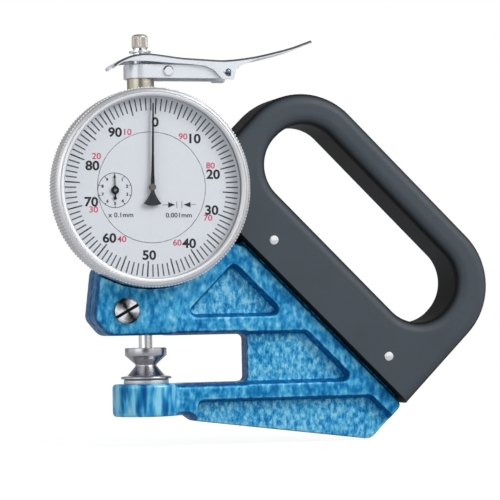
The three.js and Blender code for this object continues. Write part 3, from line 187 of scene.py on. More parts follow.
class GaugeSpindleSettings(bpy.types.PropertyGroup):
    """Spindle, anvil, screws and lift lever."""

    edge: length_property("Edge", "Softening of the turned edges", 0.12)
    knob_ridges: count_property("Knob ridges", "Ridges round the lift knob", 26, 3)
    sheet_edge: length_property("Sheet edge", "Softening of the lever's edges", 0.14)
    travel: length_property("Travel", "How far the spindle rises, pressing its spring together", 1.2)
    sheet_round: length_property("Sheet round", "Rounding along the top of the lever", 0.68)
    steel: colour_property("Steel", "Colour of the ground steel", "B4B6BA")
    tip_steel: colour_property("Tip steel", "Colour of the contact tip", "B6B6BA")
    pin_steel: colour_property("Pin steel", "Colour of the lever's pin", "7D8591")
    knob_steel: colour_property("Knob steel", "Colour of the lift knob", "C4BEB8")
    chrome: colour_property("Chrome", "Colour of the lever and the spindle", "E1E5EC")


class GaugeStageSettings(bpy.types.PropertyGroup):
    """Floor, light and camera."""

    camera: FloatVectorProperty(
        name="Camera",
        description="Camera place",
        default=(-0.166245, -0.673169, 0.027522),
        subtype="TRANSLATION",
        unit="LENGTH",
    )
    yaw: angle_property("Yaw", "Camera turn to the right", 16.445)
    pitch: angle_property("Pitch", "Camera tilt upwards", 1.687)
    roll: angle_property("Roll", "Camera roll", 1.186)
    lens: FloatProperty(
        name="Lens", description="Focal length in millimetres", default=170.27, subtype="DISTANCE_CAMERA"
    )
    floor: colour_property("Floor", "Colour of the floor", "BBBDC0")
    glow: level_property("Glow", "How bright the floor is seen in full shadow", 0.88)
    shadow: level_property("Shadow", "Depth of the part's shadow on the floor", 0.2)
    mirrored: level_property("Mirrored floor", "Share of the pale floor that mirrors show", 0.2)
    world: level_property("World", "Strength of the light from all sides", 0.6)
    key: level_property("Key", "Power of the key light in watts", 11.2)
    fill: level_property("Fill", "Power of the fill light in watts", 1.5)


# Meshes

SAME_POINT = 1e-7  # metres between points on a turned piece's axis that are one
CAD_MERGE = 1e-5  # metres between the corners of a CAD node's loose triangles that are one
FLAT_ANGLE = math.radians(1)  # below which two faces are one flat face
SMOOTH_BELOW = 40  # degrees past which an edge of a copied or softened piece is shaded sharp
EASE_LIMIT = 2.2  # how many times as long as its end's rounding a profile's side has to be


@contextmanager
def edited(mesh):
    """A mesh opened for editing, and written back afterwards."""
    work = bmesh.new()
    work.from_mesh(mesh)
    yield work
    work.to_mesh(mesh)
    work.free()


def link_mesh(name, mesh):
    """A new object for a mesh, at the origin."""
    piece = bpy.data.objects.new(name, mesh)
    bpy.context.scene.collection.objects.link(piece)
    return piece


def mesh_of(name, points, faces):
    """A mesh of points in millimetres, with its faces turned outwards."""
    mesh = bpy.data.meshes.new(name)
    mesh.from_pydata([Vector(p) * MM for p in points], [], faces)
    with edited(mesh) as work:
        bmesh.ops.recalc_face_normals(work, faces=work.faces)
    return mesh


def shade(mesh, degrees=32):
    """Smooth a mesh's shading, with sharp edges past an angle."""
    mesh.shade_smooth()
    mesh.set_sharp_from_angle(angle=math.radians(degrees))


def settle(piece):
    """Apply a piece's modifiers, so that a plain mesh is left."""
    evaluated = piece.evaluated_get(bpy.context.evaluated_depsgraph_get())
    mesh = bpy.data.meshes.new_from_object(evaluated)
    piece.modifiers.clear()
    old = piece.data
    piece.data = mesh
    bpy.data.meshes.remove(old)
    mesh.name = piece.name
    return piece


def place_piece(piece, body, slot, material, *nodes):
    """Give a piece its finish, its body and the nodes that it stands for."""
    piece.data.materials.clear()
    piece.data.materials.append(material)
    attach(piece, body)
    if nodes:
        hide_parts(*nodes)
    return piece


def eased(profile, radius, steps=3):
    """A profile with its corners rounded, apart from those on the axis."""
    points = []
    count = len(profile)
    for i, corner in enumerate(profile):
        corner = Vector(corner)
        before = Vector(profile[i - 1])
        after = Vector(profile[(i + 1) % count])
        sides = ((before - corner).length, (after - corner).length)
        reach = min(radius, sides[0] / EASE_LIMIT, sides[1] / EASE_LIMIT)
        if corner.x == 0 or reach == 0:
            points.append(corner)
            continue
        start = corner + (before - corner).normalized() * reach
        end = corner + (after - corner).normalized() * reach
        for step in range(steps + 1):
            share = step / steps
            points.append(start.lerp(corner, share).lerp(corner.lerp(end, share), share))
    return points


def turned(name, profile, centre=(0, 0), axis="Z", segments=96, edge=0.12):
    """A turned piece from its closed profile of radius and place, with softened edges."""
    outline = eased(profile, edge)
    points = []
    faces = []
    count = len(outline)
    for k in range(segments):
        turn = 2 * math.pi * k / segments
        for radius, along in outline:
            flat = (centre[0] + radius * math.cos(turn), centre[1] + radius * math.sin(turn))
            points.append((flat[0], along, flat[1]) if axis == "Y" else (flat[0], flat[1], along))
    for k in range(segments):
        for i in range(count):
            j = (i + 1) % count
            if outline[i][0] == 0 and outline[j][0] == 0:
                continue
            other = (k + 1) % segments
            faces.append((k * count + i, k * count + j, other * count + j, other * count + i))
    mesh = mesh_of(name, points, faces)
    with edited(mesh) as work:
        bmesh.ops.remove_doubles(work, verts=work.verts, dist=SAME_POINT)
        bmesh.ops.recalc_face_normals(work, faces=work.faces)
    shade(mesh)
    return link_mesh(name, mesh)


def prism(name, outline, front, back):
    """A flat piece with an outline in X and Z, between two places along Y."""
    count = len(outline)
    points = [(x, front, z) for x, z in outline] + [(x, back, z) for x, z in outline]
    faces = [tuple(range(count)), tuple(range(2 * count - 1, count - 1, -1))]
    faces += [(i, (i + 1) % count, count + (i + 1) % count, count + i) for i in range(count)]
    mesh = mesh_of(name, points, faces)
    shade(mesh)
    return link_mesh(name, mesh)


def cad_copy(name, node):
    """A copy of a CAD node's mesh, with its loose triangles joined and its flat faces made whole."""
    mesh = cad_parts[node].data.copy()
    mesh.name = name
    with edited(mesh) as work:
        bmesh.ops.remove_doubles(work, verts=work.verts, dist=CAD_MERGE)
        bmesh.ops.dissolve_limit(work, angle_limit=FLAT_ANGLE, verts=work.verts, edges=work.edges)
    mesh.materials.clear()
    return link_mesh(name, mesh)


def round_along_top(mesh, radius):
    """Round the long outer edges between a sheet's top and its two sides."""
    sideways, upwards = 0.9, 0.3  # least parts of a side's and a top's direction
    near_side = 0.98  # of the sheet's half width
    with edited(mesh) as work:
        outermost = near_side * max(abs(v.co.y) for v in work.verts)
        picked = []
        for edge in work.edges:
            if len(edge.link_faces) != 2 or min(abs(v.co.y) for v in edge.verts) < outermost:
                continue
            first, second = [face.normal for face in edge.link_faces]
            sides = [(first, second), (second, first)]
            if any(abs(side.y) > sideways and top.z > upwards for side, top in sides):
                picked.append(edge)
        bmesh.ops.bevel(work, geom=picked, offset=radius * MM, segments=4, profile=0.5, affect="EDGES")


def softened_copy(name, node, width, degrees=32, top=0.0):
    """A copy of a CAD node with small rounded edges, and a larger rounding along its top where asked."""
    piece = cad_copy(name, node)
    if top:
        round_along_top(piece.data, top)
    return soften(piece, width, degrees)


def soften(piece, width, degrees):
    """Round a piece's edges past an angle, by a width in millimetres."""
    bevel = piece.modifiers.new("Edges", "BEVEL")
    bevel.width = width * MM
    bevel.segments = 2
    bevel.limit_method = "ANGLE"
    bevel.angle_limit = math.radians(degrees)
    bevel.harden_normals = False
    settle(piece)
    shade(piece.data, SMOOTH_BELOW)
    return weigh_normals(piece)


def weigh_normals(piece):
    """Let the large flat faces lead the shading at their edges."""
    weighted = piece.modifiers.new("Normals", "WEIGHTED_NORMAL")
    weighted.keep_sharp = True
    weighted.weight = 80
    return settle(piece)


def cut_by(piece, cutter):
    """Cut a piece with another, which is then removed."""
    cut = piece.modifiers.new("Cut", "BOOLEAN")
    cut.operation = "DIFFERENCE"
    cut.solver = "EXACT"
    cut.object = cutter
    bpy.context.view_layer.update()
    settle(piece)
    bpy.data.objects.remove(cutter)
    return piece


def joined(name, pieces):
    """Several pieces as one object."""
    work = bmesh.new()
    for piece in pieces:
        work.from_mesh(piece.data)
        bpy.data.objects.remove(piece)
    mesh = bpy.data.meshes.new(name)
    work.to_mesh(mesh)
    work.free()
    return link_mesh(name, mesh)


# The grip's outline, in the turned directions along the frame's diagonal and away from it

DIAGONAL = math.radians(45)


def on_diagonal(along, away):
    """A place given along the diagonal and away from it, as X and Z."""
    cosine, sine = math.cos(DIAGONAL), math.sin(DIAGONAL)
    return along * cosine + away * sine, away * cosine - along * sine


def diagonal_corners(alongs, aways):
    """The corners of a box that lies along the diagonal, as X and Z."""
    near, far = alongs
    low, high = aways
    return [on_diagonal(*corner) for corner in ((near, low), (far, low), (far, high), (near, high))]


def rounded_loop(corners, inset, arc_steps=20):
    """Points round an outline of x, z and corner radius, moved in by an inset."""
    points = []
    count = len(corners)
    for i, (x, z, radius) in enumerate(corners):
        before = Vector(corners[i - 1][:2])
        corner = Vector((x, z))
        after = Vector(corners[(i + 1) % count][:2])
        arrive = (corner - before).normalized()
        leave = (after - corner).normalized()
        turn = math.atan2(arrive.cross(leave), arrive.dot(leave))
        inward = Vector((-arrive.y, arrive.x)) * math.copysign(1, turn)
        centre = corner - arrive * radius * math.tan(abs(turn) / 2) + inward * radius
        for k in range(arc_steps + 1):
            spoke = inward.copy()
            spoke.rotate(Matrix.Rotation(turn * k / arc_steps, 2))
            points.append(centre - spoke * (radius - inset * math.copysign(1, turn)))
    return points


def levelled_prism(name, corners, levels):
    """A prism along Y whose outline is moved in by an amount at each level."""
    loops = [rounded_loop(corners, inset) for _, inset in levels]
    count = len(loops[0])
    points = [(p.x, y, p.y) for (y, _), loop in zip(levels, loops) for p in loop]
    faces = []
    for level in range(len(levels) - 1):
        for i in range(count):
            j = (i + 1) % count
            low, high = level * count, (level + 1) * count
            faces.append((low + i, low + j, high + j, high + i))
    faces.append(tuple(range(count)))
    faces.append(tuple(range(len(points) - 1, len(points) - count - 1, -1)))
    return link_mesh(name, mesh_of(name, points, faces))


def rounded_levels(half, edge, steps=10):
    """Levels from face to face that round both long edges."""
    front = []
    for i in range(steps + 1):
        turn = math.pi / 2 * (1 - i / steps)
        front.append((-(half - edge + edge * math.sin(turn)), edge * (1 - math.cos(turn))))
    return front + [(-y, inset) for y, inset in reversed(front)]


# Geometry node trees


def new_tree(name, inputs):
    """A geometry node tree with named inputs and one geometry output."""
    tree = bpy.data.node_groups.new(name, "GeometryNodeTree")
    for label, kind in inputs:
        tree.interface.new_socket(label, in_out="INPUT", socket_type=kind)
    tree.interface.new_socket("Geometry", in_out="OUTPUT", socket_type="NodeSocketGeometry")
    return tree


def add_node(tree, kind, links=None, **settings):
    """A node in a tree, with its linked inputs. Settings name its properties, or else its other inputs."""
    made = tree.nodes.new(kind)
    for key, value in settings.items():
        if hasattr(made, key):
            setattr(made, key, value)
        else:
            made.inputs[key].default_value = value
    for key, socket in (links or {}).items():
        tree.links.new(socket, made.inputs[key])
    return made


def set_input(modifier, tree, label, value):
    """Set a modifier's input by its socket's identifier."""
    for item in tree.interface.items_tree:
        if item.item_type == "SOCKET" and item.in_out == "INPUT" and item.name == label:
            modifier[item.identifier] = value


def maths(tree, operation, *values):
    """A maths node with up to three inputs, each a socket or a number."""
    made = add_node(tree, "ShaderNodeMath", operation=operation)
    for socket, value in zip(made.inputs, values):
        if isinstance(value, (int, float)):
            socket.default_value = value
        else:
            tree.links.new(value, socket)
    return made.outputs[0]


def mixed(tree, first, second, share):
    """A value between two others."""
    return maths(tree, "ADD", first, maths(tree, "MULTIPLY", maths(tree, "SUBTRACT", second, first), share))


def rising(tree, value, low, high):
    """A share that rises from 0 to 1 while a value goes from one number to another."""
    ends = {"From Min": low, "From Max": high}
    return add_node(tree, "ShaderNodeMapRange", {"Value": value}, **ends).outputs["Result"]


def split(tree, vector):
    """A vector's three parts."""
    return add_node(tree, "ShaderNodeSeparateXYZ", {0: vector}).outputs


def vector_of(tree, **parts):
    """A vector from some of its parts, which are X, Y or Z."""
    return add_node(tree, "ShaderNodeCombineXYZ", parts).outputs[0]


def ring_tree(name, build_copy, inputs):
    """A tree that sets copies round a circle in X and Z, each turned to face out from its middle."""
    shared = [("Count", "NodeSocketInt"), ("Radius", "NodeSocketFloat"), ("Turn", "NodeSocketFloat")]
    tree = new_tree(name, shared + inputs + [("Material", "NodeSocketMaterial")])
    given = add_node(tree, "NodeGroupInput").outputs
    index = add_node(tree, "GeometryNodeInputIndex").outputs[0]
    step = maths(tree, "DIVIDE", 2 * math.pi, given["Count"])
    turn = maths(tree, "ADD", maths(tree, "MULTIPLY", index, step), given["Turn"])
    across = maths(tree, "MULTIPLY", maths(tree, "SINE", turn), given["Radius"])
    up = maths(tree, "MULTIPLY", maths(tree, "COSINE", turn), given["Radius"])
    where = vector_of(tree, X=across, Z=up)
    points = add_node(tree, "GeometryNodePoints", {"Count": given["Count"], "Position": where}).outputs[0]
    placed = {"Points": points, "Instance": build_copy(tree, given), "Rotation": vector_of(tree, Y=turn)}
    copies = add_node(tree, "GeometryNodeInstanceOnPoints", placed).outputs[0]
    real = add_node(tree, "GeometryNodeRealizeInstances", {0: copies}).outputs[0]
    painted = {"Geometry": real, "Material": given["Material"]}
    add_node(tree, "NodeGroupOutput", {0: add_node(tree, "GeometryNodeSetMaterial", painted).outputs[0]})
    return tree


def bar_copy(tree, given):
    """A bar that hangs inwards from the circle, for the scales' marks."""
    size = vector_of(tree, X=given["Width"], Y=given["Height"], Z=given["Length"])
    drop = vector_of(tree, Z=maths(tree, "MULTIPLY", given["Length"], -0.5))
    cube = add_node(tree, "GeometryNodeMeshCube", {"Size": size}).outputs["Mesh"]
    return add_node(tree, "GeometryNodeTransform", {"Geometry": cube, "Translation": drop}).outputs[0]


def ridge_copy(tree, given):
    """A ridge with a pointed section that lies along Y, for the knurls."""
    half = maths(tree, "MULTIPLY", given["Width"], 0.5)
    size = vector_of(tree, X=half, Y=given["Length"], Z=given["Height"])
    stick = add_node(tree, "GeometryNodeMeshCylinder", Vertices=4, Radius=1, Depth=1).outputs["Mesh"]
    laid = add_node(tree, "GeometryNodeTransform", {"Geometry": stick}, Rotation=(math.pi / 2, 0, 0))
    return add_node(tree, "GeometryNodeTransform", {"Geometry": laid.outputs[0], "Scale": size}).outputs[0]


SIZE_INPUTS = [(label, "NodeSocketFloat") for label in ("Width", "Height", "Length")]


def ring_piece(name, build_copy, centre, middle, material, count, radius, turn, width, height, length):
    """A ring of bars or ridges as one plain mesh. Sizes are in millimetres."""
    piece = link_mesh(name, bpy.data.meshes.new(name))
    tree = ring_tree(name + "_tree", build_copy, SIZE_INPUTS)
    ring = piece.modifiers.new("Ring", "NODES")
    ring.node_group = tree
    values = {"Count": count, "Radius": radius * MM, "Turn": turn, "Material": material}
    values.update({"Width": width * MM, "Height": height * MM, "Length": length * MM})
    for label, value in values.items():
        set_input(ring, tree, label, value)
    settle(piece)
    piece.data.transform(Matrix.Translation((centre[0] * MM, middle * MM, centre[1] * MM)))
    return piece


# Materials


def new_material(name):
    """A node material with its shader, and its Object coordinates."""
    material = bpy.data.materials.new(name)
    material.use_nodes = True
    tree = material.node_tree
    coordinates = add_node(tree, "ShaderNodeTexCoord")
    return material, tree, tree.nodes["Principled BSDF"], coordinates.outputs["Object"]


def noise(tree, vector, scale, detail=3, roughness=0.5, stretch=None):
    """A noise pattern on the Object coordinates, stretched where asked."""
    if stretch:
        vector = add_node(tree, "ShaderNodeMapping", {"Vector": vector}, Scale=stretch).outputs[0]
    fineness = {"Scale": scale, "Detail": detail, "Roughness": roughness}
    return add_node(tree, "ShaderNodeTexNoise", {"Vector": vector}, **fineness).outputs["Fac"]


def ramp(tree, value, stops):
    """A colour ramp from stops of place and colour."""
    made = add_node(tree, "ShaderNodeValToRGB", {"Fac": value})
    elements = made.color_ramp.elements
    while len(elements) < len(stops):
        elements.new(0.5)
    for element, (where, colour) in zip(elements, stops):
        element.position = where
        element.color = (*colour, 1)
    return made.outputs["Color"]


def grey(value):
    """A grey as a colour."""
    return (value, value, value)


def bump(tree, shader, height, strength, distance):
    """Bump a shader by a height."""
    made = add_node(tree, "ShaderNodeBump", {"Height": height}, Strength=strength, Distance=distance)
    tree.links.new(made.outputs[0], shader.inputs["Normal"])


def scaled(colour, share):
    """A colour made lighter or darker."""
    return tuple(min(1, channel * share) for channel in colour)


def varied(tree, base, pattern, amount):
    """A value varied by a pattern about the pattern's middle."""
    return maths(tree, "MULTIPLY_ADD", maths(tree, "SUBTRACT", pattern, 0.5), amount, base)


def tinted(tree, pattern, colour, amount):
    """A colour that a pattern makes a little darker and lighter."""
    return ramp(tree, pattern, [(0.3, scaled(colour, 1 - amount)), (0.7, scaled(colour, 1 + amount))])


def roughen(tree, shader, pattern, first, second, start=0.3):
    """Vary a shader's roughness between two values by a pattern."""
    stops = [(start, grey(first)), (1 - start, grey(second))]
    tree.links.new(ramp(tree, pattern, stops), shader.inputs["Roughness"])


def overlaid(tree, colour, share, other):
    """A linked colour that gives way to a fixed one by a share."""
    factor, first, second, result = 0, 6, 7, 2  # the node's sockets for colours
    made = add_node(tree, "ShaderNodeMix", {factor: share, first: colour}, data_type="RGBA")
    made.inputs[second].default_value = (*other, 1)
    return made.outputs[result]


def distance(tree, across, up):
    """How far a place lies from a centre, from its two distances along the axes."""
    squares = maths(tree, "MULTIPLY_ADD", across, across, maths(tree, "MULTIPLY", up, up))
    return maths(tree, "SQRT", squares)


def facing(tree):
    """The direction that a piece's surface faces, in its own X, Y and Z."""
    return split(tree, add_node(tree, "ShaderNodeTexCoord").outputs["Normal"])


def pointiness(tree):
    """How far a surface stands out at a place: 0.5 where it is flat, less in hollows."""
    return add_node(tree, "ShaderNodeNewGeometry").outputs["Pointiness"]


# Where the casting's faces lie, in millimetres: from its middle plane, round the boss and above its foot
WEB_FACE, RIB_FACE = 4.4, 6.4
BOSS_RADIUS, BOSS_TOP, ARM_TOP = 10, 11, 9
# How strongly the blotches stand out on the webs and the ribs, and how much more they do on the boss, where
# they are mostly painted reflection streaks
WEB_CONTRAST, RIB_CONTRAST, BOSS_CONTRAST = 0.82, 0.7, 0.85
# How much paler the paint is on the webs and ribs; the painted shade on the lower arm and on walls, the
# painted shade with the paint's pooling in hollows, and the painted highlight on ridges
WEB_TONE, RIB_TONE, ARM_SHADE = 0.03, -0.02, -0.045
WALL_SHADE, HOLLOW_POOLING_AND_SHADE, RIDGE_HIGHLIGHT = -0.22, -0.14, 0.12
BLOTCH_STRETCH = (1, 1, 0.6)  # blotches a little taller than wide
REFLECTION_STREAK_STRETCH = (0.6, 0.6, 0.12)  # long streaks down the round boss: painted reflection
REFLECTION_STREAK_SHARE = 0.9  # of the boss's paint that is painted reflection streaks
BROAD_TONE = 0.16  # how far the paint's tone drifts over the casting


def hammered_paint(settings):
    """Blue hammered paint: light blotches on a darker ground, finer and paler on the sunk webs. Painted shade
    darkens the lower arm, the walls and the hollows, where the paint also pools; a painted highlight lightens
    the ridges, and painted reflection streaks run down the round boss.
    """
    material, tree, shader, vector = new_material("hammered_blue")
    x, y, z = split(tree, vector)
    raised = rising(tree, maths(tree, "ABSOLUTE", y), WEB_FACE * MM, RIB_FACE * MM)
    round_it = rising(tree, distance(tree, x, y), (BOSS_RADIUS + 1) * MM, BOSS_RADIUS * MM)
    boss = maths(tree, "MULTIPLY", round_it, rising(tree, z, (BOSS_TOP + 1) * MM, BOSS_TOP * MM))
    # Painted shade: the raised faces of the lower arm, below the boss's top, are darkened.
    arm_shade = rising(tree, z, (BOSS_TOP + 1) * MM, ARM_TOP * MM)
    arm_shade = maths(tree, "MULTIPLY", arm_shade, maths(tree, "SUBTRACT", raised, boss))
    # Painted shade: faces that turn away from the front, the pockets' walls and the head's sides, are
    # darkened.
    wall_shade = rising(tree, maths(tree, "ABSOLUTE", facing(tree)["Y"]), 0.88, 0.5)
    wall_shade = maths(tree, "MULTIPLY", wall_shade, maths(tree, "SUBTRACT", 1.0, boss))
    edges = pointiness(tree)
    # Painted shade, with the paint's pooling: the hollows are darkened.
    hollow = rising(tree, edges, 0.495, 0.45)
    # Painted highlight: the ridges and rounded edges are lightened.
    ridge_highlight = rising(tree, edges, 0.505, 0.54)
    large, small = 1 / (settings.blotch * MM), 1 / (settings.web_blotch * MM)
    fine = noise(tree, vector, small, detail=2, roughness=0.6, stretch=BLOTCH_STRETCH)
    coarse = noise(tree, vector, large, detail=2, roughness=0.55, stretch=BLOTCH_STRETCH)
    # Painted reflection: long light and dark streaks down the round boss.
    reflection_streaks = noise(tree, vector, large, detail=2, roughness=0.5, stretch=REFLECTION_STREAK_STRETCH)
    blotches = mixed(tree, fine, coarse, raised)
    blotches = mixed(tree, blotches, reflection_streaks, maths(tree, "MULTIPLY", boss, REFLECTION_STREAK_SHARE))
    contrast = mixed(tree, WEB_CONTRAST, RIB_CONTRAST, raised)
    contrast = maths(tree, "MULTIPLY_ADD", boss, BOSS_CONTRAST, contrast)
    blotches = varied(tree, 0.5, blotches, contrast)
    value = varied(tree, blotches, noise(tree, vector, scale=70, detail=2), BROAD_TONE)
    value = maths(tree, "ADD", value, mixed(tree, WEB_TONE, RIB_TONE, raised))
    for mask, tone_there in ((arm_shade, ARM_SHADE), (wall_shade, WALL_SHADE), (hollow, HOLLOW_POOLING_AND_SHADE), (ridge_highlight, RIDGE_HIGHLIGHT)):
        value = maths(tree, "MULTIPLY_ADD", mask, tone_there, value)
    stops = [
        (0.26, settings.paint_dark),
        (0.41, settings.paint),
        (0.53, settings.paint_light),
        (0.66, settings.paint_bright),
    ]
    tree.links.new(ramp(tree, value, stops), shader.inputs["Base Color"])
    roughen(tree, shader, blotches, 0.42, 0.28, start=0.35)
    shader.inputs["Metallic"].default_value = 0.12
    shader.inputs["Specular IOR Level"].default_value = 0.14
    bump(tree, shader, blotches, strength=0.4, distance=0.0004)
    return material


def grip_moulding(settings):
    """Black moulding with a fine grain; its flat faces are painted grey as a lit sheen and its rounded edges
    painted deep black as shade.
    """
    material, tree, shader, vector = new_material("black_moulding")
    # Painted light: faces that look to the front or back are painted lit grey, the rest painted shaded black.
    flat = rising(tree, maths(tree, "ABSOLUTE", facing(tree)["Y"]), 0.5, 0.85)
    mottle = varied(tree, 1.0, noise(tree, vector, scale=60, detail=4), 0.3)
    colours = [(0, settings.moulding_edge), (1, settings.moulding)]
    tree.links.new(ramp(tree, maths(tree, "MULTIPLY", flat, mottle), colours), shader.inputs["Base Color"])
    grain = noise(tree, vector, scale=2200, detail=3, roughness=0.6)
    edge_rough, face_rough = 0.62, 0.46
    rough = varied(tree, mixed(tree, edge_rough, face_rough, flat), grain, 0.12)
    tree.links.new(rough, shader.inputs["Roughness"])
    shader.inputs["Specular IOR Level"].default_value = 0.2
    bump(tree, shader, grain, strength=0.15, distance=0.00012)
    return material


GRAIN_DEPTH = 0.00003  # of the metals' grain, in metres
TURNING_SCALE = 900  # how fine the marks on turned metal are


def metal(name, colour, rough, spread, grain, stretch=None, grain_scale=1500, soil=0.0):
    """A metal with a machined or rolled grain that shows in its colour, roughness and bump, and darker in its
    hollows where asked.
    """
    material, tree, shader, vector = new_material(name)
    lines = noise(tree, vector, grain_scale, detail=3, roughness=0.55, stretch=stretch)
    shade_of = tinted(tree, noise(tree, vector, scale=120, detail=3), colour, 0.06)
    if soil:
        hollow = rising(tree, pointiness(tree), 0.485, 0.42)
        shade_of = overlaid(tree, shade_of, maths(tree, "MULTIPLY", hollow, soil), scaled(colour, 0.1))
    tree.links.new(shade_of, shader.inputs["Base Color"])
    roughen(tree, shader, lines, rough - spread, rough + spread, start=0.25)
    shader.inputs["Metallic"].default_value = 1
    bump(tree, shader, lines, grain, GRAIN_DEPTH)
    return material


def enamel(name, colour):
    """Pale matt enamel with a faint grain."""
    material, tree, shader, vector = new_material(name)
    shade_of = tinted(tree, noise(tree, vector, scale=700, detail=3), colour, 0.015)
    tree.links.new(shade_of, shader.inputs["Base Color"])
    shader.inputs["Roughness"].default_value = 0.55
    bump(tree, shader, noise(tree, vector, scale=4000, detail=2), strength=0.05, distance=0.00002)
    return material


def printed_ink(name, colour):
    """Printed ink with a slight unevenness."""
    material, tree, shader, vector = new_material(name)
    shade_of = tinted(tree, noise(tree, vector, scale=3000, detail=2), colour, 0.15)
    tree.links.new(shade_of, shader.inputs["Base Color"])
    shader.inputs["Roughness"].default_value = 0.5
    shader.inputs["Specular IOR Level"].default_value = 0.2
    return material


def clear_crystal():
    """Thin clear acrylic."""
    material, tree, shader, vector = new_material("crystal_clear")
    shader.inputs["Base Color"].default_value = (0.97, 0.98, 1, 1)
    shader.inputs["Alpha"].default_value = 0.01
    shader.inputs["Specular IOR Level"].default_value = 0.15
    roughen(tree, shader, noise(tree, vector, scale=60, detail=2), 0.02, 0.05)
    return material


SPUN_GLINT_TURN = math.radians(30)  # where the painted highlights, the bright quarters of the clamp screw's head, lie
SLOT_SHADE = (0.45, 0.6)  # how deep in the screw's slot the painted shade begins and is full
SPUN_GLINT_SHARES = ((0.0, 0.03), (0.12, 0.25), (0.45, 0.8), (0.8, 1.9))  # place in the painted highlight's wave and share of the steel


def spun_head(settings):
    """A screw head with round grinding marks, and a painted reflection: bright in two opposite quarters and
    dark between them, with painted shade in its slot.
    """
    material, tree, shader, vector = new_material("spun_head")
    x, y, z = split(tree, vector)
    centre = place("stem_clamp_screw")
    across = maths(tree, "SUBTRACT", x, centre.x * MM)
    up = maths(tree, "SUBTRACT", z, centre.z * MM)
    turn = maths(tree, "ARCTAN2", up, across)
    # Painted reflection: bright and dark quarters painted in by the angle round the head's middle.
    glint_wave = maths(tree, "SINE", maths(tree, "MULTIPLY_ADD", turn, 2, SPUN_GLINT_TURN))
    grain = noise(tree, vector, scale=1200, detail=3)
    value = rising(tree, varied(tree, glint_wave, grain, 0.9), -1, 1)
    # Painted shade: the slot darkens with depth.
    begins, full = [(span("stem_clamp_screw", Y)[0] + depth) * MM for depth in SLOT_SHADE]
    slot_shade_mask = rising(tree, y, begins, full)
    value = maths(tree, "MULTIPLY", value, maths(tree, "SUBTRACT", 1.0, slot_shade_mask))
    stops = [(where, scaled(settings.steel, share)) for where, share in SPUN_GLINT_SHARES]
    tree.links.new(ramp(tree, value, stops), shader.inputs["Base Color"])
    roughen(tree, shader, grain, 0.25, 0.4)
    shader.inputs["Metallic"].default_value = 1
    bump(tree, shader, grain, strength=0.15, distance=GRAIN_DEPTH)
    return material


def pressed_chrome(settings):
    """Plating over pressed sheet, with a painted dark reflection along its rounded top edge."""
    material, tree, shader, vector = new_material("pressed_chrome")
    direction = facing(tree)
    sideways = rising(tree, maths(tree, "ABSOLUTE", direction["Y"]), 0.15, 0.4)
    # Painted reflection: the upward-facing rounded top edge is painted dark, as if it mirrored a dim ceiling.
    top = maths(tree, "MULTIPLY", rising(tree, direction["Z"], 0.02, 0.12), sideways)
    bright = maths(tree, "SUBTRACT", 1.0, top)
    value = varied(tree, bright, noise(tree, vector, scale=120, detail=3), 0.25)
    stops = [(0.0, scaled(settings.chrome, 0.12)), (1.0, settings.chrome)]
    tree.links.new(ramp(tree, value, stops), shader.inputs["Base Color"])
    marks = noise(tree, vector, scale=300, detail=3)
    roughen(tree, shader, marks, 0.2, 0.28, start=0.25)
    shader.inputs["Metallic"].default_value = 0.3
    bump(tree, shader, marks, strength=0.06, distance=GRAIN_DEPTH)
    return material


TAIL_REACH, TAIL_HALF, TAIL_START = 6.4, 3, 0.5  # the pointer's tail, in millimetres from its centre
HUB_EDGE = (1.0, 0.9)  # between which the pointer's paint gives way to its bare hub


def hand_paint(settings):
    """The hands' black paint, with the pointer's bare hub and its grey tail."""
    material, tree, shader, vector = new_material("hand_black")
    x, _, z = split(tree, vector)
    across = maths(tree, "SUBTRACT", x, DIAL[0] * MM)
    up = maths(tree, "SUBTRACT", z, DIAL[1] * MM)
    reach = distance(tree, across, up)
    grain = noise(tree, vector, scale=2500, detail=2)
    dark = ramp(tree, grain, [(0.3, scaled(settings.ink, 0.3)), (0.7, scaled(settings.ink, 0.5))])
    near = maths(tree, "LESS_THAN", reach, TAIL_REACH * MM)
    narrow = maths(tree, "LESS_THAN", maths(tree, "ABSOLUTE", across), TAIL_HALF * MM)
    below = rising(tree, up, 0, -TAIL_START * MM)
    tail = maths(tree, "MULTIPLY", maths(tree, "MULTIPLY", below, near), narrow)
    hub = rising(tree, reach, HUB_EDGE[0] * MM, HUB_EDGE[1] * MM)
    colour = overlaid(tree, overlaid(tree, dark, tail, settings.tail), hub, settings.hub)
    tree.links.new(colour, shader.inputs["Base Color"])
    shader.inputs["Roughness"].default_value = 0.5
    shader.inputs["Specular IOR Level"].default_value = 0.04
    return material


def finish(name, build, colour, *values, **named):
    """A finish that is made once, when the first piece asks for it."""
    return bpy.data.materials.get(name) or build(name, colour, *values, **named)


def silver_satin():
    """Satin plated metal of the bezel and the case."""
    colour = bpy.context.scene.gauge_dial.silver
    return finish("satin_silver", metal, colour, rough=0.3, spread=0.05, grain=0.2, soil=0.7)


def turned_metal(name, colour, rough, spread, grain, along=8):
    """A metal with fine turning marks, drawn out along the spindle's axis."""
    return finish(name, metal, colour, rough, spread, grain, (1, 1, along), TURNING_SCALE)


def brass_finish():
    """Turned brass."""
    return turned_metal("brass", bpy.context.scene.gauge_dial.brass, rough=0.3, spread=0.07, grain=0.3)


def nickel_finish():
    """Turned brass under a thin yellowish plating."""
    return turned_metal("nickel", bpy.context.scene.gauge_dial.nickel, rough=0.28, spread=0.05, grain=0.2)


def steel_finish(name, colour, rough):
    """Steel with turning marks."""
    return turned_metal(name, colour, rough, spread=0.06, grain=0.3, along=9)


def ground_steel():
    """Ground steel of the anvil and the small screws."""
    return steel_finish("ground_steel", bpy.context.scene.gauge_spindle.steel, rough=0.22)


def pin_finish():
    """Darker steel of the lever's pin and the small pointer's arbor."""
    return steel_finish("pin_steel", bpy.context.scene.gauge_spindle.pin_steel, rough=0.35)


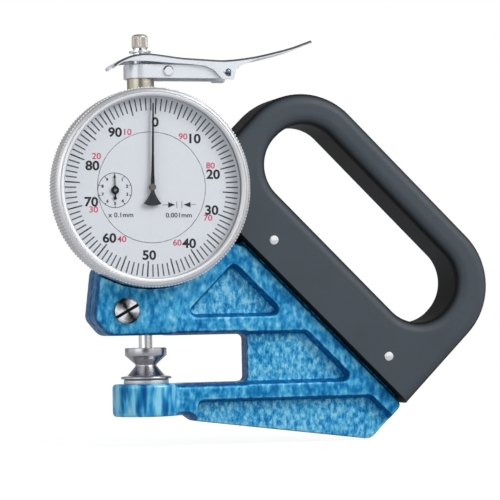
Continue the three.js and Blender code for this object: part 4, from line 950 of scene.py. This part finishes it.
def bright_chrome():
    """Bright plating with faint handling marks."""
    colour = bpy.context.scene.gauge_spindle.chrome
    return finish("bright_steel", metal, colour, rough=0.16, spread=0.04, grain=0.06, grain_scale=300)


def black_ink():
    """The dial's black ink."""
    return finish("ink_black", printed_ink, bpy.context.scene.gauge_dial.ink)


def grey_ink():
    """The paler ink of the outer scale's marks."""
    return finish("ink_grey", printed_ink, bpy.context.scene.gauge_dial.mark_ink)


def red_ink():
    """The dial's red ink."""
    return finish("ink_red", printed_ink, bpy.context.scene.gauge_dial.red_ink)


def dial_enamel():
    """The enamel of both parts of the dial."""
    return finish("dial_enamel", enamel, bpy.context.scene.gauge_dial.enamel)


def finish_nodes(material, *nodes):
    """Give CAD nodes that stay as they are a finished material."""
    for node in nodes:
        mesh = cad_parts[node].data
        mesh.materials.clear()
        mesh.materials.append(material)


# Pieces


class GAUGE_OT_casting(bpy.types.Operator):
    """Build the cast frame with its hammered paint"""

    bl_idname = "gauge.casting"
    bl_label = "Frame casting"

    def execute(self, context):
        settings = context.scene.gauge_frame
        casting = cad_copy("casting_skin", "frame_casting")
        remesh = casting.modifiers.new("Skin", "REMESH")
        remesh.mode = "VOXEL"
        remesh.voxel_size = settings.voxel * MM
        ease = casting.modifiers.new("Ease", "SMOOTH")
        ease.factor = 0.5
        ease.iterations = settings.smoothing
        settle(casting)
        casting.data.shade_smooth()
        place_piece(casting, "frame", "hammered_blue", hammered_paint(settings), "frame_casting")
        return {"FINISHED"}


CUT_MARGIN, CUT_THROUGH = 5, 2  # how far a cutting block reaches past the grip's outline and its faces
GRIP_SOFTENED = 0.35  # how far the grip's cut edges are softened
TONGUE_HALF, TONGUE_DEPTH = 4.3, 12.4  # the slot for the frame's tongue
TONGUE_NEAR, TONGUE_FAR = 5.7, 11.4  # how far the slot reaches past the upper and the lower pin
PIN_RADIUS, PIN_PROUD, PIN_EDGE = 1.4, 0.15, 0.3  # how far a pin stands out, and how its end is rounded


class GAUGE_OT_grip(bpy.types.Operator):
    """Build the moulded grip with its hand hole"""

    bl_idname = "gauge.grip"
    bl_label = "Grip"

    def execute(self, context):
        settings = context.scene.gauge_frame
        alongs, aways = diagonal_reach("handle_grip")
        half = span("handle_grip", Y)[1]
        edge, corner = settings.grip_edge, settings.grip_corner
        foot = aways[0] - corner
        radii = (edge + 1, edge + 1, corner, corner)  # the first two are cut away with the foot
        outer = [(*point, radius) for point, radius in zip(diagonal_corners(alongs, (foot, aways[1])), radii)]
        hole_alongs = (alongs[0] + settings.hole_near, alongs[1] - settings.hole_far)
        hole_aways = (aways[0] + settings.hole_low, aways[1] - settings.hole_high)
        hole = [(*point, settings.hole_corner) for point in diagonal_corners(hole_alongs, hole_aways)]
        levels = rounded_levels(half, edge)
        through = half + CUT_THROUGH
        flare = [(-through, -edge)] + [(y, -inset) for y, inset in levels] + [(through, -edge)]
        grip = levelled_prism("grip_skin", outer, levels)
        cut_by(grip, levelled_prism("hole_cut", hole, flare))
        past = (alongs[0] - CUT_MARGIN, alongs[1] + CUT_MARGIN)
        below = diagonal_corners(past, (foot - CUT_MARGIN, aways[0]))
        cut_by(grip, prism("below_cut", below, -through, through))
        radius = cradle_radius()
        profile = [(0, -through), (radius, -through), (radius, through), (0, through)]
        cut_by(grip, turned("cradle_cut", profile, DIAL, "Y", segments=192, edge=0))
        cut_by(grip, prism("slot_cut", tongue_slot(), -TONGUE_HALF, TONGUE_HALF))
        soften(grip, GRIP_SOFTENED, degrees=50)
        place_piece(grip, "frame", "black_moulding", grip_moulding(settings), "handle_grip")
        proud = half + PIN_PROUD
        profile = [(0, -proud), (PIN_RADIUS, -proud), (PIN_RADIUS, proud), (0, proud)]
        middles = [place(node) for node in ("handle_pin_upper", "handle_pin_lower")]
        pins = [turned("pin", profile, (p.x, p.z), "Y", segments=48, edge=PIN_EDGE) for p in middles]
        both = joined("grip_pins", pins)
        shade(both.data)
        place_piece(both, "frame", "bright_steel", bright_chrome(), "handle_pin_upper", "handle_pin_lower")
        return {"FINISHED"}


def diagonal_reach(node):
    """How far a node reaches along the diagonal and away from it, in millimetres."""
    cosine, sine = math.cos(DIAGONAL), math.sin(DIAGONAL)
    points = [v.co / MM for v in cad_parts[node].data.vertices]
    alongs = [p.x * cosine - p.z * sine for p in points]
    aways = [p.x * sine + p.z * cosine for p in points]
    return (min(alongs), max(alongs)), (min(aways), max(aways))


def cradle_radius():
    """The radius of the grip's hollow round the dial, from the grip's nearest point."""
    points = [v.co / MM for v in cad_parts["handle_grip"].data.vertices]
    return min((Vector((p.x, p.z)) - Vector(DIAL)).length for p in points)


def tongue_slot():
    """The corners of the slot for the frame's tongue, as X and Z."""
    low = diagonal_reach("handle_grip")[1][0]
    near = middle_along("handle_pin_upper") - TONGUE_NEAR
    far = middle_along("handle_pin_lower") + TONGUE_FAR
    return diagonal_corners((near, far), (low - CUT_MARGIN, low + TONGUE_DEPTH))


def middle_along(node):
    """How far along the diagonal the middle of a node lies."""
    nearest, farthest = diagonal_reach(node)[0]
    return (nearest + farthest) / 2


ANVIL_SHANK, ANVIL_HEAD, ANVIL_CHAMFER = 4, 1.4, 0.3  # radius, height and width


class GAUGE_OT_anvil(bpy.types.Operator):
    """Build the fixed anvil and the clamp screw"""

    bl_idname = "gauge.anvil"
    bl_label = "Anvil and clamp screw"

    def execute(self, context):
        settings = context.scene.gauge_spindle
        low, high = span("fixed_anvil", Z)
        radius = span("fixed_anvil", X)[1]
        shoulder = high - ANVIL_HEAD
        profile = [
            (0, low),
            (ANVIL_SHANK, low),
            (ANVIL_SHANK, shoulder),
            (radius, shoulder),
            (radius, high - ANVIL_CHAMFER),
            (radius - ANVIL_CHAMFER, high),
            (0, high),
        ]
        anvil = turned("anvil_skin", profile, edge=settings.edge)
        place_piece(anvil, "frame", "ground_steel", ground_steel(), "fixed_anvil")
        screw = softened_copy("clamp_screw_skin", "stem_clamp_screw", settings.edge, degrees=20)
        place_piece(screw, "frame", "ground_steel", spun_head(settings), "stem_clamp_screw")
        return {"FINISHED"}


CASE_ANGLE = 30  # degrees past which an edge of the case and its screws is softened
BORE_GAP = 0.12  # between the spindle and the stem's and the bush's bores


class GAUGE_OT_case(bpy.types.Operator):
    """Build the dial gauge's case, cover, stem, bush and spring, and finish its movement"""

    bl_idname = "gauge.case"
    bl_label = "Case"

    def execute(self, context):
        settings = context.scene.gauge_spindle
        edge = settings.edge
        for node in ("case_body", "case_cover"):
            piece = softened_copy(node + "_skin", node, edge, CASE_ANGLE)
            place_piece(piece, "frame", "satin_silver", silver_satin(), node)
        for i in range(1, 5):
            screw = softened_copy(f"cover_screw_skin_{i}", f"cover_screw_{i}", edge / 2, CASE_ANGLE)
            place_piece(screw, "frame", "ground_steel", ground_steel(), f"cover_screw_{i}")
        finish_nodes(brass_finish(), "front_plate", "rear_plate", "train_bridge", "spring_collar")
        finish_nodes(brass_finish(), *[f"plate_pillar_{i}" for i in range(1, 5)])
        finish_nodes(brass_finish(), "rack_wheel", "second_wheel")
        finish_nodes(ground_steel(), "rack_arbor", "guide_pin")
        finish_nodes(pin_finish(), "second_arbor")
        finish_nodes(black_ink(), "centre_arbor")
        spring = cad_copy("return_spring_skin", "return_spring")
        shade(spring.data, SMOOTH_BELOW)
        place_piece(spring, "frame", "ground_steel", ground_steel(), "return_spring")
        low, high = span("return_spring", Z)
        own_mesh(spring)
        bore = span("spindle", Y)[1] + BORE_GAP
        for node, name, material, slot in (
            ("stem", "stem_skin", silver_satin(), "satin_silver"),
            ("top_bush", "bush_skin", nickel_finish(), "brass"),
        ):
            low, high = span(node, Z)
            radius = span(node, X)[1]
            profile = [(bore, low), (radius, low), (radius, high), (bore, high)]
            place_piece(turned(name, profile, edge=edge), "frame", slot, material, node)
        return {"FINISHED"}


# The bezel's rounded front corner, as how far in from its rim and how far back from its face
RIM_ROUNDING = ((0, 1.0), (0.12, 0.7), (0.4, 0.36), (0.75, 0.14))
RIM_CHAMFER = 0.3  # at the rim's back corner
# The groove's front edge, foot and inner edge, as how far out from its middle and how far back
GROOVE = ((0.2, 0), (0, 0.5), (-0.2, 0.12))
# The lip that holds the crystal, as how far out from the crystal's rim and how far back
CRYSTAL_LIP = ((-0.5, 0.2), (-0.9, 0.7), (0.3, 0.7))
RING_ROOM, RING_LIP = 0.3, 0.6  # how far the bezel clears the scale ring, and reaches in behind it
KNURL_FOOT = 0.02  # how far a ridge is sunk in the turned body
KNURL_SHARE = 0.98  # a ridge's width as a share of the step between ridges
KNURL_END = 0.2  # from the bezel's back to the ridges
KNURL_SHARP = 28  # degrees past which an edge beside a ridge is shaded sharp


class GAUGE_OT_bezel(bpy.types.Operator):
    """Build the knurled bezel and the crystal"""

    bl_idname = "gauge.bezel"
    bl_label = "Bezel and crystal"

    def execute(self, context):
        settings = context.scene.gauge_dial
        front, back = span("bezel", Y)
        radius, ring, glass = [half_width(node) for node in ("bezel", "dial_ring", "crystal")]
        glass_front, glass_back = span("crystal", Y)
        scale_back = span("dial_ring", Y)[1]
        waist = radius - settings.knurl_height
        groove = radius - settings.groove_in
        profile = [(ring - RING_LIP, back), (waist - RIM_CHAMFER, back), (waist, back - RIM_CHAMFER)]
        profile += [(waist - inwards, front + deep) for inwards, deep in RIM_ROUNDING]
        profile += [(groove + outwards, front + deep) for outwards, deep in GROOVE]
        profile += [(glass + outwards, front + deep) for outwards, deep in CRYSTAL_LIP]
        profile += [
            (profile[-1][0], glass_back),
            (ring + RING_ROOM, glass_back),
            (ring + RING_ROOM, scale_back),
            (ring - RING_LIP, scale_back),
        ]
        body = turned("bezel_body", profile, DIAL, "Y", segments=256, edge=0.06)
        ridge_front, ridge_back = front + RIM_ROUNDING[0][1], back - KNURL_END
        ridges = ring_piece(
            "bezel_ridges",
            ridge_copy,
            centre=DIAL,
            middle=(ridge_back + ridge_front) / 2,
            material=silver_satin(),
            count=settings.knurls,
            radius=waist - KNURL_FOOT,
            turn=0,
            width=2 * math.pi * radius / settings.knurls * KNURL_SHARE,
            height=settings.knurl_height,
            length=ridge_back - ridge_front,
        )
        whole = joined("bezel_skin", [body, ridges])
        shade(whole.data, KNURL_SHARP)
        place_piece(whole, "outer_bezel", "satin_silver", silver_satin(), "bezel")
        profile = [(0, glass_front), (glass, glass_front), (glass, glass_back), (0, glass_back)]
        crystal = turned("crystal_skin", profile, DIAL, "Y", segments=128, edge=0.1)
        place_piece(crystal, "outer_bezel", "crystal_clear", clear_crystal(), "crystal")
        return {"FINISHED"}


def half_width(node):
    """Half of how wide a CAD node is, in millimetres."""
    low, high = span(node, X)
    return (high - low) / 2


INK_LIFT = 0.03  # how thick the print is
BOLD = 0.03  # how far the black numerals' strokes are thickened
THIN, HEAVY = BOLD / 2, 1.6 * BOLD  # the same for the red numerals and the units, and for the small dial
WIDE = 1.1  # of the letters' own width


def dial_text(name, words, height, x, z, turn, bold):
    """Printed words on the dial, centred on a place. Sizes are in millimetres."""
    curve = bpy.data.curves.new(name, "FONT")
    curve.body = words
    curve.size = 1
    curve.align_x = "CENTER"
    curve.align_y = "CENTER"
    curve.resolution_u = 4
    curve.offset = bold
    writing = bpy.data.objects.new(name, curve)
    bpy.context.scene.collection.objects.link(writing)
    bpy.context.view_layer.update()
    mesh = bpy.data.meshes.new_from_object(writing.evaluated_get(bpy.context.evaluated_depsgraph_get()))
    bpy.data.objects.remove(writing)
    bpy.data.curves.remove(curve)
    low = min(v.co.y for v in mesh.vertices)
    high = max(v.co.y for v in mesh.vertices)
    middle = (high + low) / 2
    share = height * MM / (high - low)
    upright = Matrix.Rotation(math.pi / 2, 4, "X")
    centred = Matrix.Translation((0, -middle, 0))
    turned_by = Matrix.Rotation(turn, 4, "Y")
    where = Matrix.Translation((x * MM, (DIAL_FACE - INK_LIFT) * MM, z * MM))
    sized = Matrix.Diagonal((share * WIDE, share, share, 1))
    mesh.transform(where @ turned_by @ upright @ sized @ centred)
    return link_mesh(name, mesh)


def round_dial(radius, turn, centre=None):
    """A place on a circle round a dial's centre, counted clockwise from its top."""
    x, z = centre or DIAL
    return x + radius * math.sin(turn), z + radius * math.cos(turn)


# The radius of each numeral's middle and how many degrees it is past its mark, the red ones by their mark
NUMERAL_PLACES = (
    (18.95, 0.2),
    (19.07, 2.3),
    (18.81, 2.6),
    (18.98, -1.25),
    (19.56, -1.55),
    (19.61, -0.5),
    (19.36, 1.6),
    (18.44, 1.25),
    (18.55, -2.0),
    (19.12, -1.6),
)
BACK_PLACES = {
    1: (17.6, -6.9),
    2: (18.75, -5.5),
    3: (18.85, 6.35),
    4: (17.6, 7.8),
    6: (17.5, -8.3),
    7: (18.45, -5.9),
    8: (18.55, 7.25),
    9: (17.5, 8.3),
}


class GAUGE_OT_outer_scale(bpy.types.Operator):
    """Print the outer scale that turns with the bezel"""

    bl_idname = "gauge.outer_scale"
    bl_label = "Outer scale"

    def execute(self, context):
        settings = context.scene.gauge_dial
        finish_nodes(dial_enamel(), "dial_ring")
        turn = settings.scale_turn
        marks = [
            mark_ring(name, DIAL, count, settings.scale_radius, turn, settings.mark_width, length)
            for name, count, length in (
                ("plain_marks", settings.divisions, settings.mark),
                ("long_marks", settings.divisions // 5, settings.long_mark),
            )
        ]
        lean = settings.numeral_lean
        numerals = []
        red = []
        for i in range(10):
            step = i * math.pi / 5
            radius, slip = NUMERAL_PLACES[i]
            where = round_dial(radius, turn + step + math.radians(slip))
            numerals.append(dial_text("numeral", str(10 * i), settings.numeral, *where, lean, BOLD))
            if i in BACK_PLACES:
                radius, slip = BACK_PLACES[i]
                where = round_dial(radius, turn + step + math.radians(slip))
                height = settings.back_numeral
                red.append(dial_text("back_numeral", str(100 - 10 * i), height, *where, lean, THIN))
        place_piece(joined("outer_marks", marks), "outer_bezel", "hand_black", grey_ink())
        place_piece(joined("outer_numerals", numerals), "outer_bezel", "hand_black", black_ink())
        place_piece(joined("back_scale", red), "outer_bezel", "dial_paint", red_ink())
        return {"FINISHED"}


def mark_ring(name, centre, count, radius, turn, width, length):
    """A ring of printed marks that hang inwards from a circle on the dial."""
    return ring_piece(
        name,
        bar_copy,
        centre=centre,
        middle=DIAL_FACE - INK_LIFT / 2,
        material=black_ink(),
        count=count,
        radius=radius,
        turn=turn,
        width=width,
        height=INK_LIFT,
        length=length,
    )


SMALL_CIRCLE_HALF = 0.09  # half the width of the small dial's circle
SMALL_MARK, SMALL_MARK_WIDTH = 0.55, 0.2
SMALL_NUMERAL, SMALL_NUMERAL_IN = 0.95, 1.2  # height, and how far in from the circle
UNIT_HEIGHT = 1.4
# Each unit's piece, its words and its middle from the dial's centre
UNITS = (("small_unit", "x 0.1mm", -9.3, -7.9), ("main_unit", "0.001mm", 7.9, -8.1))
ARROWS = (8.1, -5.1)  # the middle between the two arrows, from the dial's centre
ARROW_GAP = 0.5  # between a bar and its arrow
BAR_APART, BAR_WIDTH, BAR_HEIGHT = 0.75, 0.14, 1.9  # from the middle between the arrows, and size


class GAUGE_OT_dial_centre(bpy.types.Operator):
    """Print the fixed dial centre with the small dial"""

    bl_idname = "gauge.dial_centre"
    bl_label = "Dial centre"

    def execute(self, context):
        settings = context.scene.gauge_dial
        finish_nodes(dial_enamel(), "dial_centre")
        front = DIAL_FACE - INK_LIFT
        radius = settings.small_radius
        inner, outer = radius - SMALL_CIRCLE_HALF, radius + SMALL_CIRCLE_HALF
        rim = [(inner, front), (outer, front), (outer, DIAL_FACE), (inner, DIAL_FACE)]
        count = settings.small_divisions
        pieces = [
            turned("small_rim", rim, SMALL_DIAL, "Y", edge=0),
            mark_ring("small_marks", SMALL_DIAL, count, radius, 0, SMALL_MARK_WIDTH, SMALL_MARK),
        ]
        for i in range(count):
            where = round_dial(radius - SMALL_NUMERAL_IN, i * 2 * math.pi / count, SMALL_DIAL)
            pieces.append(dial_text("small_numeral", str(i), SMALL_NUMERAL, *where, 0, HEAVY))
        x, z = DIAL
        for name, words, across, up in UNITS:
            pieces.append(dial_text(name, words, UNIT_HEIGHT, x + across, z + up, 0, THIN))
        level = z + ARROWS[1]
        for side in (-1, 1):
            bar = x + ARROWS[0] + side * BAR_APART
            pieces.append(bar_shape(bar, level))
            pieces.append(arrow_shape(bar + side * ARROW_GAP, level, side))
        place_piece(joined("centre_print", pieces), "frame", "hand_black", black_ink())
        return {"FINISHED"}


def bar_shape(x, z):
    """A small upright bar printed on the dial."""
    across, up = BAR_WIDTH / 2, BAR_HEIGHT / 2
    outline = [(x - across, z - up), (x + across, z - up), (x + across, z + up), (x - across, z + up)]
    return prism("bar", outline, DIAL_FACE - INK_LIFT, DIAL_FACE)


# A printed arrow's outline above its middle line, as distance from its tip and height
ARROW_UPPER = ((2.1, 0.8), (2.1, 0.07), (3.7, 0.07))


def arrow_shape(x, z, side):
    """A small arrow that points at a bar from one side."""
    upper = [(x + side * along, z + up) for along, up in ARROW_UPPER]
    lower = [(x + side * along, z - up) for along, up in reversed(ARROW_UPPER)]
    return prism("arrow", [(x, z)] + upper + lower, DIAL_FACE - INK_LIFT, DIAL_FACE)


# The right-hand side of each hand's needle and tail, as width and height from its centre
NEEDLE_TIP = ((0, 0), (0.13, -0.15))  # as width and height from the tip
NEEDLE = ((0.17, 20), (0.25, 10), (0.36, 4), (0.5, 1.8))
TAIL = (
    (0.45, -1.0),
    (0.5, -1.4),
    (0.8, -2.2),
    (1.3, -3.1),
    (1.9, -4.0),
    (2.55, -4.75),
    (1.4, -5.2),
    (0, -5.4),
)
SMALL_NEEDLE = ((0, 4.6), (0.1, 4.5), (0.14, 1.4))
SMALL_TAIL = ((0.14, -1.4), (0.25, -1.8), (0.45, -2.3), (0.4, -2.6), (0, -2.85))
POINTER_THIN = 0.1  # how much the pointer's sheet is thinned on each face


def hand_outline(centre, profile, lean=0.0):
    """A hand's outline from its right-hand profile of width and height, leant clockwise about its centre."""
    mirrored = [(-across, up) for across, up in reversed(profile) if across > 0]
    cosine, sine = math.cos(lean), math.sin(lean)
    x, z = centre
    return [
        (x + across * cosine + up * sine, z + up * cosine - across * sine)
        for across, up in profile + mirrored
    ]


def hub_profile(radius, steps=8):
    """The right-hand side of a round hub, from near its top to near its foot."""
    start, sweep = 30, 120  # degrees from its top, and round it
    turns = [math.radians(start + sweep * i / steps) for i in range(steps + 1)]
    return [(radius * math.sin(turn), radius * math.cos(turn)) for turn in turns]


class GAUGE_OT_hands(bpy.types.Operator):
    """Build the pointer and the small pointer"""

    bl_idname = "gauge.hands"
    bl_label = "Hands"

    def execute(self, context):
        settings = context.scene.gauge_dial
        paint = hand_paint(settings)
        reach = span("pointer", Z)[1] - DIAL[1]
        tip = [(across, reach + up) for across, up in NEEDLE_TIP]
        profile = [*tip, *NEEDLE, *hub_profile(settings.hub_radius), *TAIL]
        low, high = span("pointer", Y)
        outline = hand_outline(DIAL, profile, settings.pointer_lean)
        pointer = prism("pointer_skin", outline, low + POINTER_THIN, high - POINTER_THIN)
        place_piece(pointer, "centre_hand", "hand_black", paint, "pointer")
        profile = [*SMALL_NEEDLE, *hub_profile(settings.small_hub_radius), *SMALL_TAIL]
        small = prism("small_pointer_skin", hand_outline(SMALL_DIAL, profile), *span("small_pointer", Y))
        place_piece(small, "small_hand", "hand_black", paint, "small_pointer")
        return {"FINISHED"}


TIP_RIM = 0.7  # height of the contact tip's foot
# The contact tip's section above its foot, as radius and height: cone, waist, upper cone, disc and shank
TIP_SECTION = ((5.5, 1.0), (3.1, 3.8), (3.1, 4.2), (6.1, 6.9), (6.1, 9.1), (1.2, 9.1))
WASHER_BORE = 2.06  # radius
KNOB_BORE, KNOB_BORE_DEPTH = 1.36, 3  # radius and depth
KNOB_ROOM = 0.2  # from the knob's body to its ridges' crests
KNOB_CHAMFER_HIGH, KNOB_CHAMFER_IN = 0.5, 0.8
KNOB_RIDGE_SHARE = 0.95  # a ridge's width as a share of the step between ridges
KNOB_RIDGE_LENGTH, KNOB_RIDGE_MIDDLE = 2.8, 1.8  # and its middle above the knob's foot


class GAUGE_OT_spindle(bpy.types.Operator):
    """Build the spindle, contact tip, washer and knob"""

    bl_idname = "gauge.spindle"
    bl_label = "Spindle"

    def execute(self, context):
        settings = context.scene.gauge_spindle
        finish_nodes(bright_chrome(), "spindle")
        low, high = span("contact_tip", Z)
        foot = span("contact_tip", X)[1]
        profile = [(0, low), (foot, low), (foot, low + TIP_RIM)]
        profile += [(radius, low + up) for radius, up in TIP_SECTION]
        profile += [(profile[-1][0], high), (0, high)]
        tip = turned("tip_skin", profile, edge=0.25)
        honed = steel_finish("tip_steel", settings.tip_steel, rough=0.22)
        place_piece(tip, "spindle_set", "ground_steel", honed, "contact_tip")
        low, high = span("lift_washer", Z)
        radius = span("lift_washer", X)[1]
        profile = [(WASHER_BORE, low), (radius, low), (radius, high), (WASHER_BORE, high)]
        washer = turned("washer_skin", profile, edge=0.2)
        place_piece(washer, "spindle_set", "bright_steel", bright_chrome(), "lift_washer")
        low, high = span("lift_knob", Z)
        radius = span("lift_knob", X)[1]
        body_radius = radius - KNOB_ROOM
        profile = [
            (0, low + KNOB_BORE_DEPTH),
            (KNOB_BORE, low + KNOB_BORE_DEPTH),
            (KNOB_BORE, low),
            (body_radius, low),
            (body_radius, high - KNOB_CHAMFER_HIGH),
            (radius - KNOB_CHAMFER_IN, high),
            (0, high),
        ]
        body = turned("knob_body", profile, edge=settings.edge)
        ridges = ring_piece(
            "knob_ridges",
            ridge_copy,
            centre=(0, 0),
            middle=0,
            material=ground_steel(),
            count=settings.knob_ridges,
            radius=body_radius - KNURL_FOOT,
            turn=0,
            width=2 * math.pi * radius / settings.knob_ridges * KNOB_RIDGE_SHARE,
            height=KNOB_ROOM,
            length=KNOB_RIDGE_LENGTH,
        )
        ridges.data.transform(Matrix.Rotation(math.pi / 2, 4, "X"))
        ridges.data.transform(Matrix.Translation((0, 0, (low + KNOB_RIDGE_MIDDLE) * MM)))
        knob = joined("knob_skin", [body, ridges])
        shade(knob.data, KNURL_SHARP)
        warm = steel_finish("knob_steel", settings.knob_steel, rough=0.5)
        place_piece(knob, "spindle_set", "ground_steel", warm, "lift_knob")
        return {"FINISHED"}


class GAUGE_OT_lever(bpy.types.Operator):
    """Build the lift lever, its bracket and their fasteners"""

    bl_idname = "gauge.lever"
    bl_label = "Lift lever"

    def execute(self, context):
        settings = context.scene.gauge_spindle
        sheet = pressed_chrome(settings)
        for name, node, body, slot, material in (
            ("lever_skin", "lift_lever", "lever", "bright_steel", sheet),
            ("bracket_skin", "lever_bracket", "frame", "bright_steel", sheet),
            ("bracket_screw_skin", "bracket_screw", "frame", "bright_steel", sheet),
            ("bracket_nut_skin", "bracket_nut", "frame", "ground_steel", ground_steel()),
            ("lever_pin_skin", "lever_pin", "frame", "ground_steel", pin_finish()),
        ):
            top = settings.sheet_round if node == "lift_lever" else 0
            piece = softened_copy(name, node, settings.sheet_edge, top=top)
            place_piece(piece, body, slot, material, node)
        return {"FINISHED"}


# Stage

FLOOR_GAP, FLOOR_REACH = 0.0004, 30  # how far the floor is under the part and goes each way, in metres
PART_MIDDLE = (0.03, 0, 0.051)  # where the lamps point, in metres


class GAUGE_OT_stage(bpy.types.Operator):
    """Build the floor, the light and the camera"""

    bl_idname = "gauge.stage"
    bl_label = "Stage"

    def execute(self, context):
        settings = context.scene.gauge_stage
        lay_floor(settings)
        light_world(context.scene, settings)
        add_lamp("key_light", where=(0.75, -0.85, 0.8), size=0.7, power=settings.key)
        add_lamp("fill_light", where=(-0.8, -0.6, 0.35), size=0.8, power=settings.fill)
        aim_camera(context.scene, settings)
        context.scene.view_settings.view_transform = "Standard"
        return {"FINISHED"}


def seen_pale(tree, shader, settings):
    """Mix a surface with a white glow that keeps shadows, for the camera, and for mirrors and glass."""
    path = add_node(tree, "ShaderNodeLightPath").outputs
    glow = add_node(tree, "ShaderNodeEmission", Strength=settings.glow).outputs[0]
    shadow = add_node(tree, "ShaderNodeBsdfDiffuse", Color=(*grey(settings.shadow), 1)).outputs[0]
    pale = add_node(tree, "ShaderNodeAddShader", {0: glow, 1: shadow}).outputs[0]
    seen = maths(tree, "MAXIMUM", path["Is Camera Ray"], path["Is Transmission Ray"])
    in_mirrors = maths(tree, "MULTIPLY", path["Is Glossy Ray"], settings.mirrored)
    seen = maths(tree, "MAXIMUM", seen, in_mirrors)
    return add_node(tree, "ShaderNodeMixShader", {"Fac": seen, 1: shader, 2: pale}).outputs[0]


def lay_floor(settings):
    """A wide plain floor just under the part."""
    height = min(corner[2] for corner in CAD_BOUNDS) - FLOOR_GAP
    reach = FLOOR_REACH
    points = [(-reach, -reach), (reach, -reach), (reach, reach), (-reach, reach)]
    mesh = bpy.data.meshes.new("floor")
    mesh.from_pydata([(x, y, height) for x, y in points], [], [(0, 1, 2, 3)])
    floor = link_mesh("floor", mesh)
    material, tree, shader, _ = new_material("floor_pale")
    shader.inputs["Base Color"].default_value = (*settings.floor, 1)
    shader.inputs["Roughness"].default_value = 0.9
    shader.inputs["Specular IOR Level"].default_value = 0.1
    output = tree.nodes["Material Output"]
    tree.links.new(seen_pale(tree, shader.outputs[0], settings), output.inputs["Surface"])
    mesh.materials.append(material)


def light_world(scene, settings):
    """A white studio. Mirrors see it with a dark gap behind the camera, dim sides and a dim ceiling."""
    world = bpy.data.worlds.new("studio")
    world.use_nodes = True
    tree = world.node_tree
    direction = add_node(tree, "ShaderNodeTexCoord").outputs["Generated"]
    height = split(tree, direction)["Z"]
    towards = add_node(tree, "ShaderNodeVectorMath", {0: direction}, operation="DOT_PRODUCT")
    towards.inputs[1].default_value = (-math.sin(settings.yaw), -math.cos(settings.yaw), 0)
    gap = [
        (0.0, grey(1)),
        (0.012, grey(0.9)),
        (0.04, grey(0.32)),
        (0.28, grey(0.36)),
        (0.45, grey(0.95)),
        (0.955, grey(1)),
        (0.98, grey(0.14)),
        (1.0, grey(0.08)),
    ]
    round_about = ramp(tree, rising(tree, towards.outputs["Value"], -1, 1), gap)
    above = ramp(tree, height, [(0.35, grey(1)), (0.75, grey(0.35)), (1, grey(0.25))])
    mirrored = maths(tree, "MULTIPLY", round_about, above)
    path = add_node(tree, "ShaderNodeLightPath").outputs
    seen = maths(tree, "MAXIMUM", path["Is Camera Ray"], path["Is Transmission Ray"])
    level = mixed(tree, settings.world, mirrored, path["Is Glossy Ray"])
    level = mixed(tree, level, 1.0, seen)
    background = tree.nodes["Background"]
    background.inputs["Color"].default_value = (1, 1, 1, 1)
    tree.links.new(level, background.inputs["Strength"])
    scene.world = world


def add_lamp(name, where, size, power):
    """A soft square lamp that faces the part."""
    lamp = bpy.data.lights.new(name, "AREA")
    lamp.size = size
    lamp.energy = power
    holder = bpy.data.objects.new(name, lamp)
    aim = Vector(PART_MIDDLE) - Vector(where)
    holder.matrix_world = Matrix.Translation(where) @ aim.to_track_quat("-Z", "Y").to_matrix().to_4x4()
    bpy.context.scene.collection.objects.link(holder)


def aim_camera(scene, settings):
    """The camera at the photograph's place, with its turn, tilt and roll."""
    yaw, pitch, roll = settings.yaw, settings.pitch, settings.roll
    ahead = math.cos(pitch)
    forward = Vector((math.sin(yaw) * ahead, math.cos(yaw) * ahead, math.sin(pitch)))
    level = Vector((math.cos(yaw), -math.sin(yaw), 0))
    above = level.cross(forward)
    right = level * math.cos(roll) - above * math.sin(roll)
    up = level * math.sin(roll) + above * math.cos(roll)
    turn = Matrix((right, up, -forward)).transposed().to_4x4()
    data = bpy.data.cameras.new("camera")
    data.lens = settings.lens
    data.sensor_width = 36
    data.clip_start = 0.01
    data.clip_end = 100
    camera = bpy.data.objects.new("camera", data)
    camera.matrix_world = Matrix.Translation(settings.camera) @ turn
    scene.collection.objects.link(camera)
    scene.camera = camera


PIECE_OPERATORS = (
    GAUGE_OT_casting,
    GAUGE_OT_grip,
    GAUGE_OT_anvil,
    GAUGE_OT_case,
    GAUGE_OT_bezel,
    GAUGE_OT_outer_scale,
    GAUGE_OT_dial_centre,
    GAUGE_OT_hands,
    GAUGE_OT_spindle,
    GAUGE_OT_lever,
    GAUGE_OT_stage,
)


class GAUGE_PT_panel(bpy.types.Panel):
    """Panel that lists the gauge's pieces"""

    bl_idname = "GAUGE_PT_panel"
    bl_label = "Dial Thickness Gauge"
    bl_space_type = "VIEW_3D"
    bl_region_type = "UI"
    bl_category = "Gauge"

    def draw(self, context):
        for operator in PIECE_OPERATORS:
            self.layout.operator(operator.bl_idname)


SETTINGS = {
    "gauge_frame": GaugeFrameSettings,
    "gauge_dial": GaugeDialSettings,
    "gauge_spindle": GaugeSpindleSettings,
    "gauge_stage": GaugeStageSettings,
}


def register():
    """Register the settings, the operators and the panel."""
    for name, group in SETTINGS.items():
        bpy.utils.register_class(group)
        setattr(bpy.types.Scene, name, PointerProperty(type=group))
    for operator in PIECE_OPERATORS:
        bpy.utils.register_class(operator)
    bpy.utils.register_class(GAUGE_PT_panel)


def unregister():
    """Unregister everything, last first."""
    bpy.utils.unregister_class(GAUGE_PT_panel)
    for operator in reversed(PIECE_OPERATORS):
        bpy.utils.unregister_class(operator)
    for name, group in reversed(SETTINGS.items()):
        delattr(bpy.types.Scene, name)
        bpy.utils.unregister_class(group)


def main():
    """Build every piece in order."""
    register()
    for operator in PIECE_OPERATORS:
        area, name = operator.bl_idname.split(".")
        getattr(getattr(bpy.ops, area), name)()


if __name__ == "__main__":
    main()
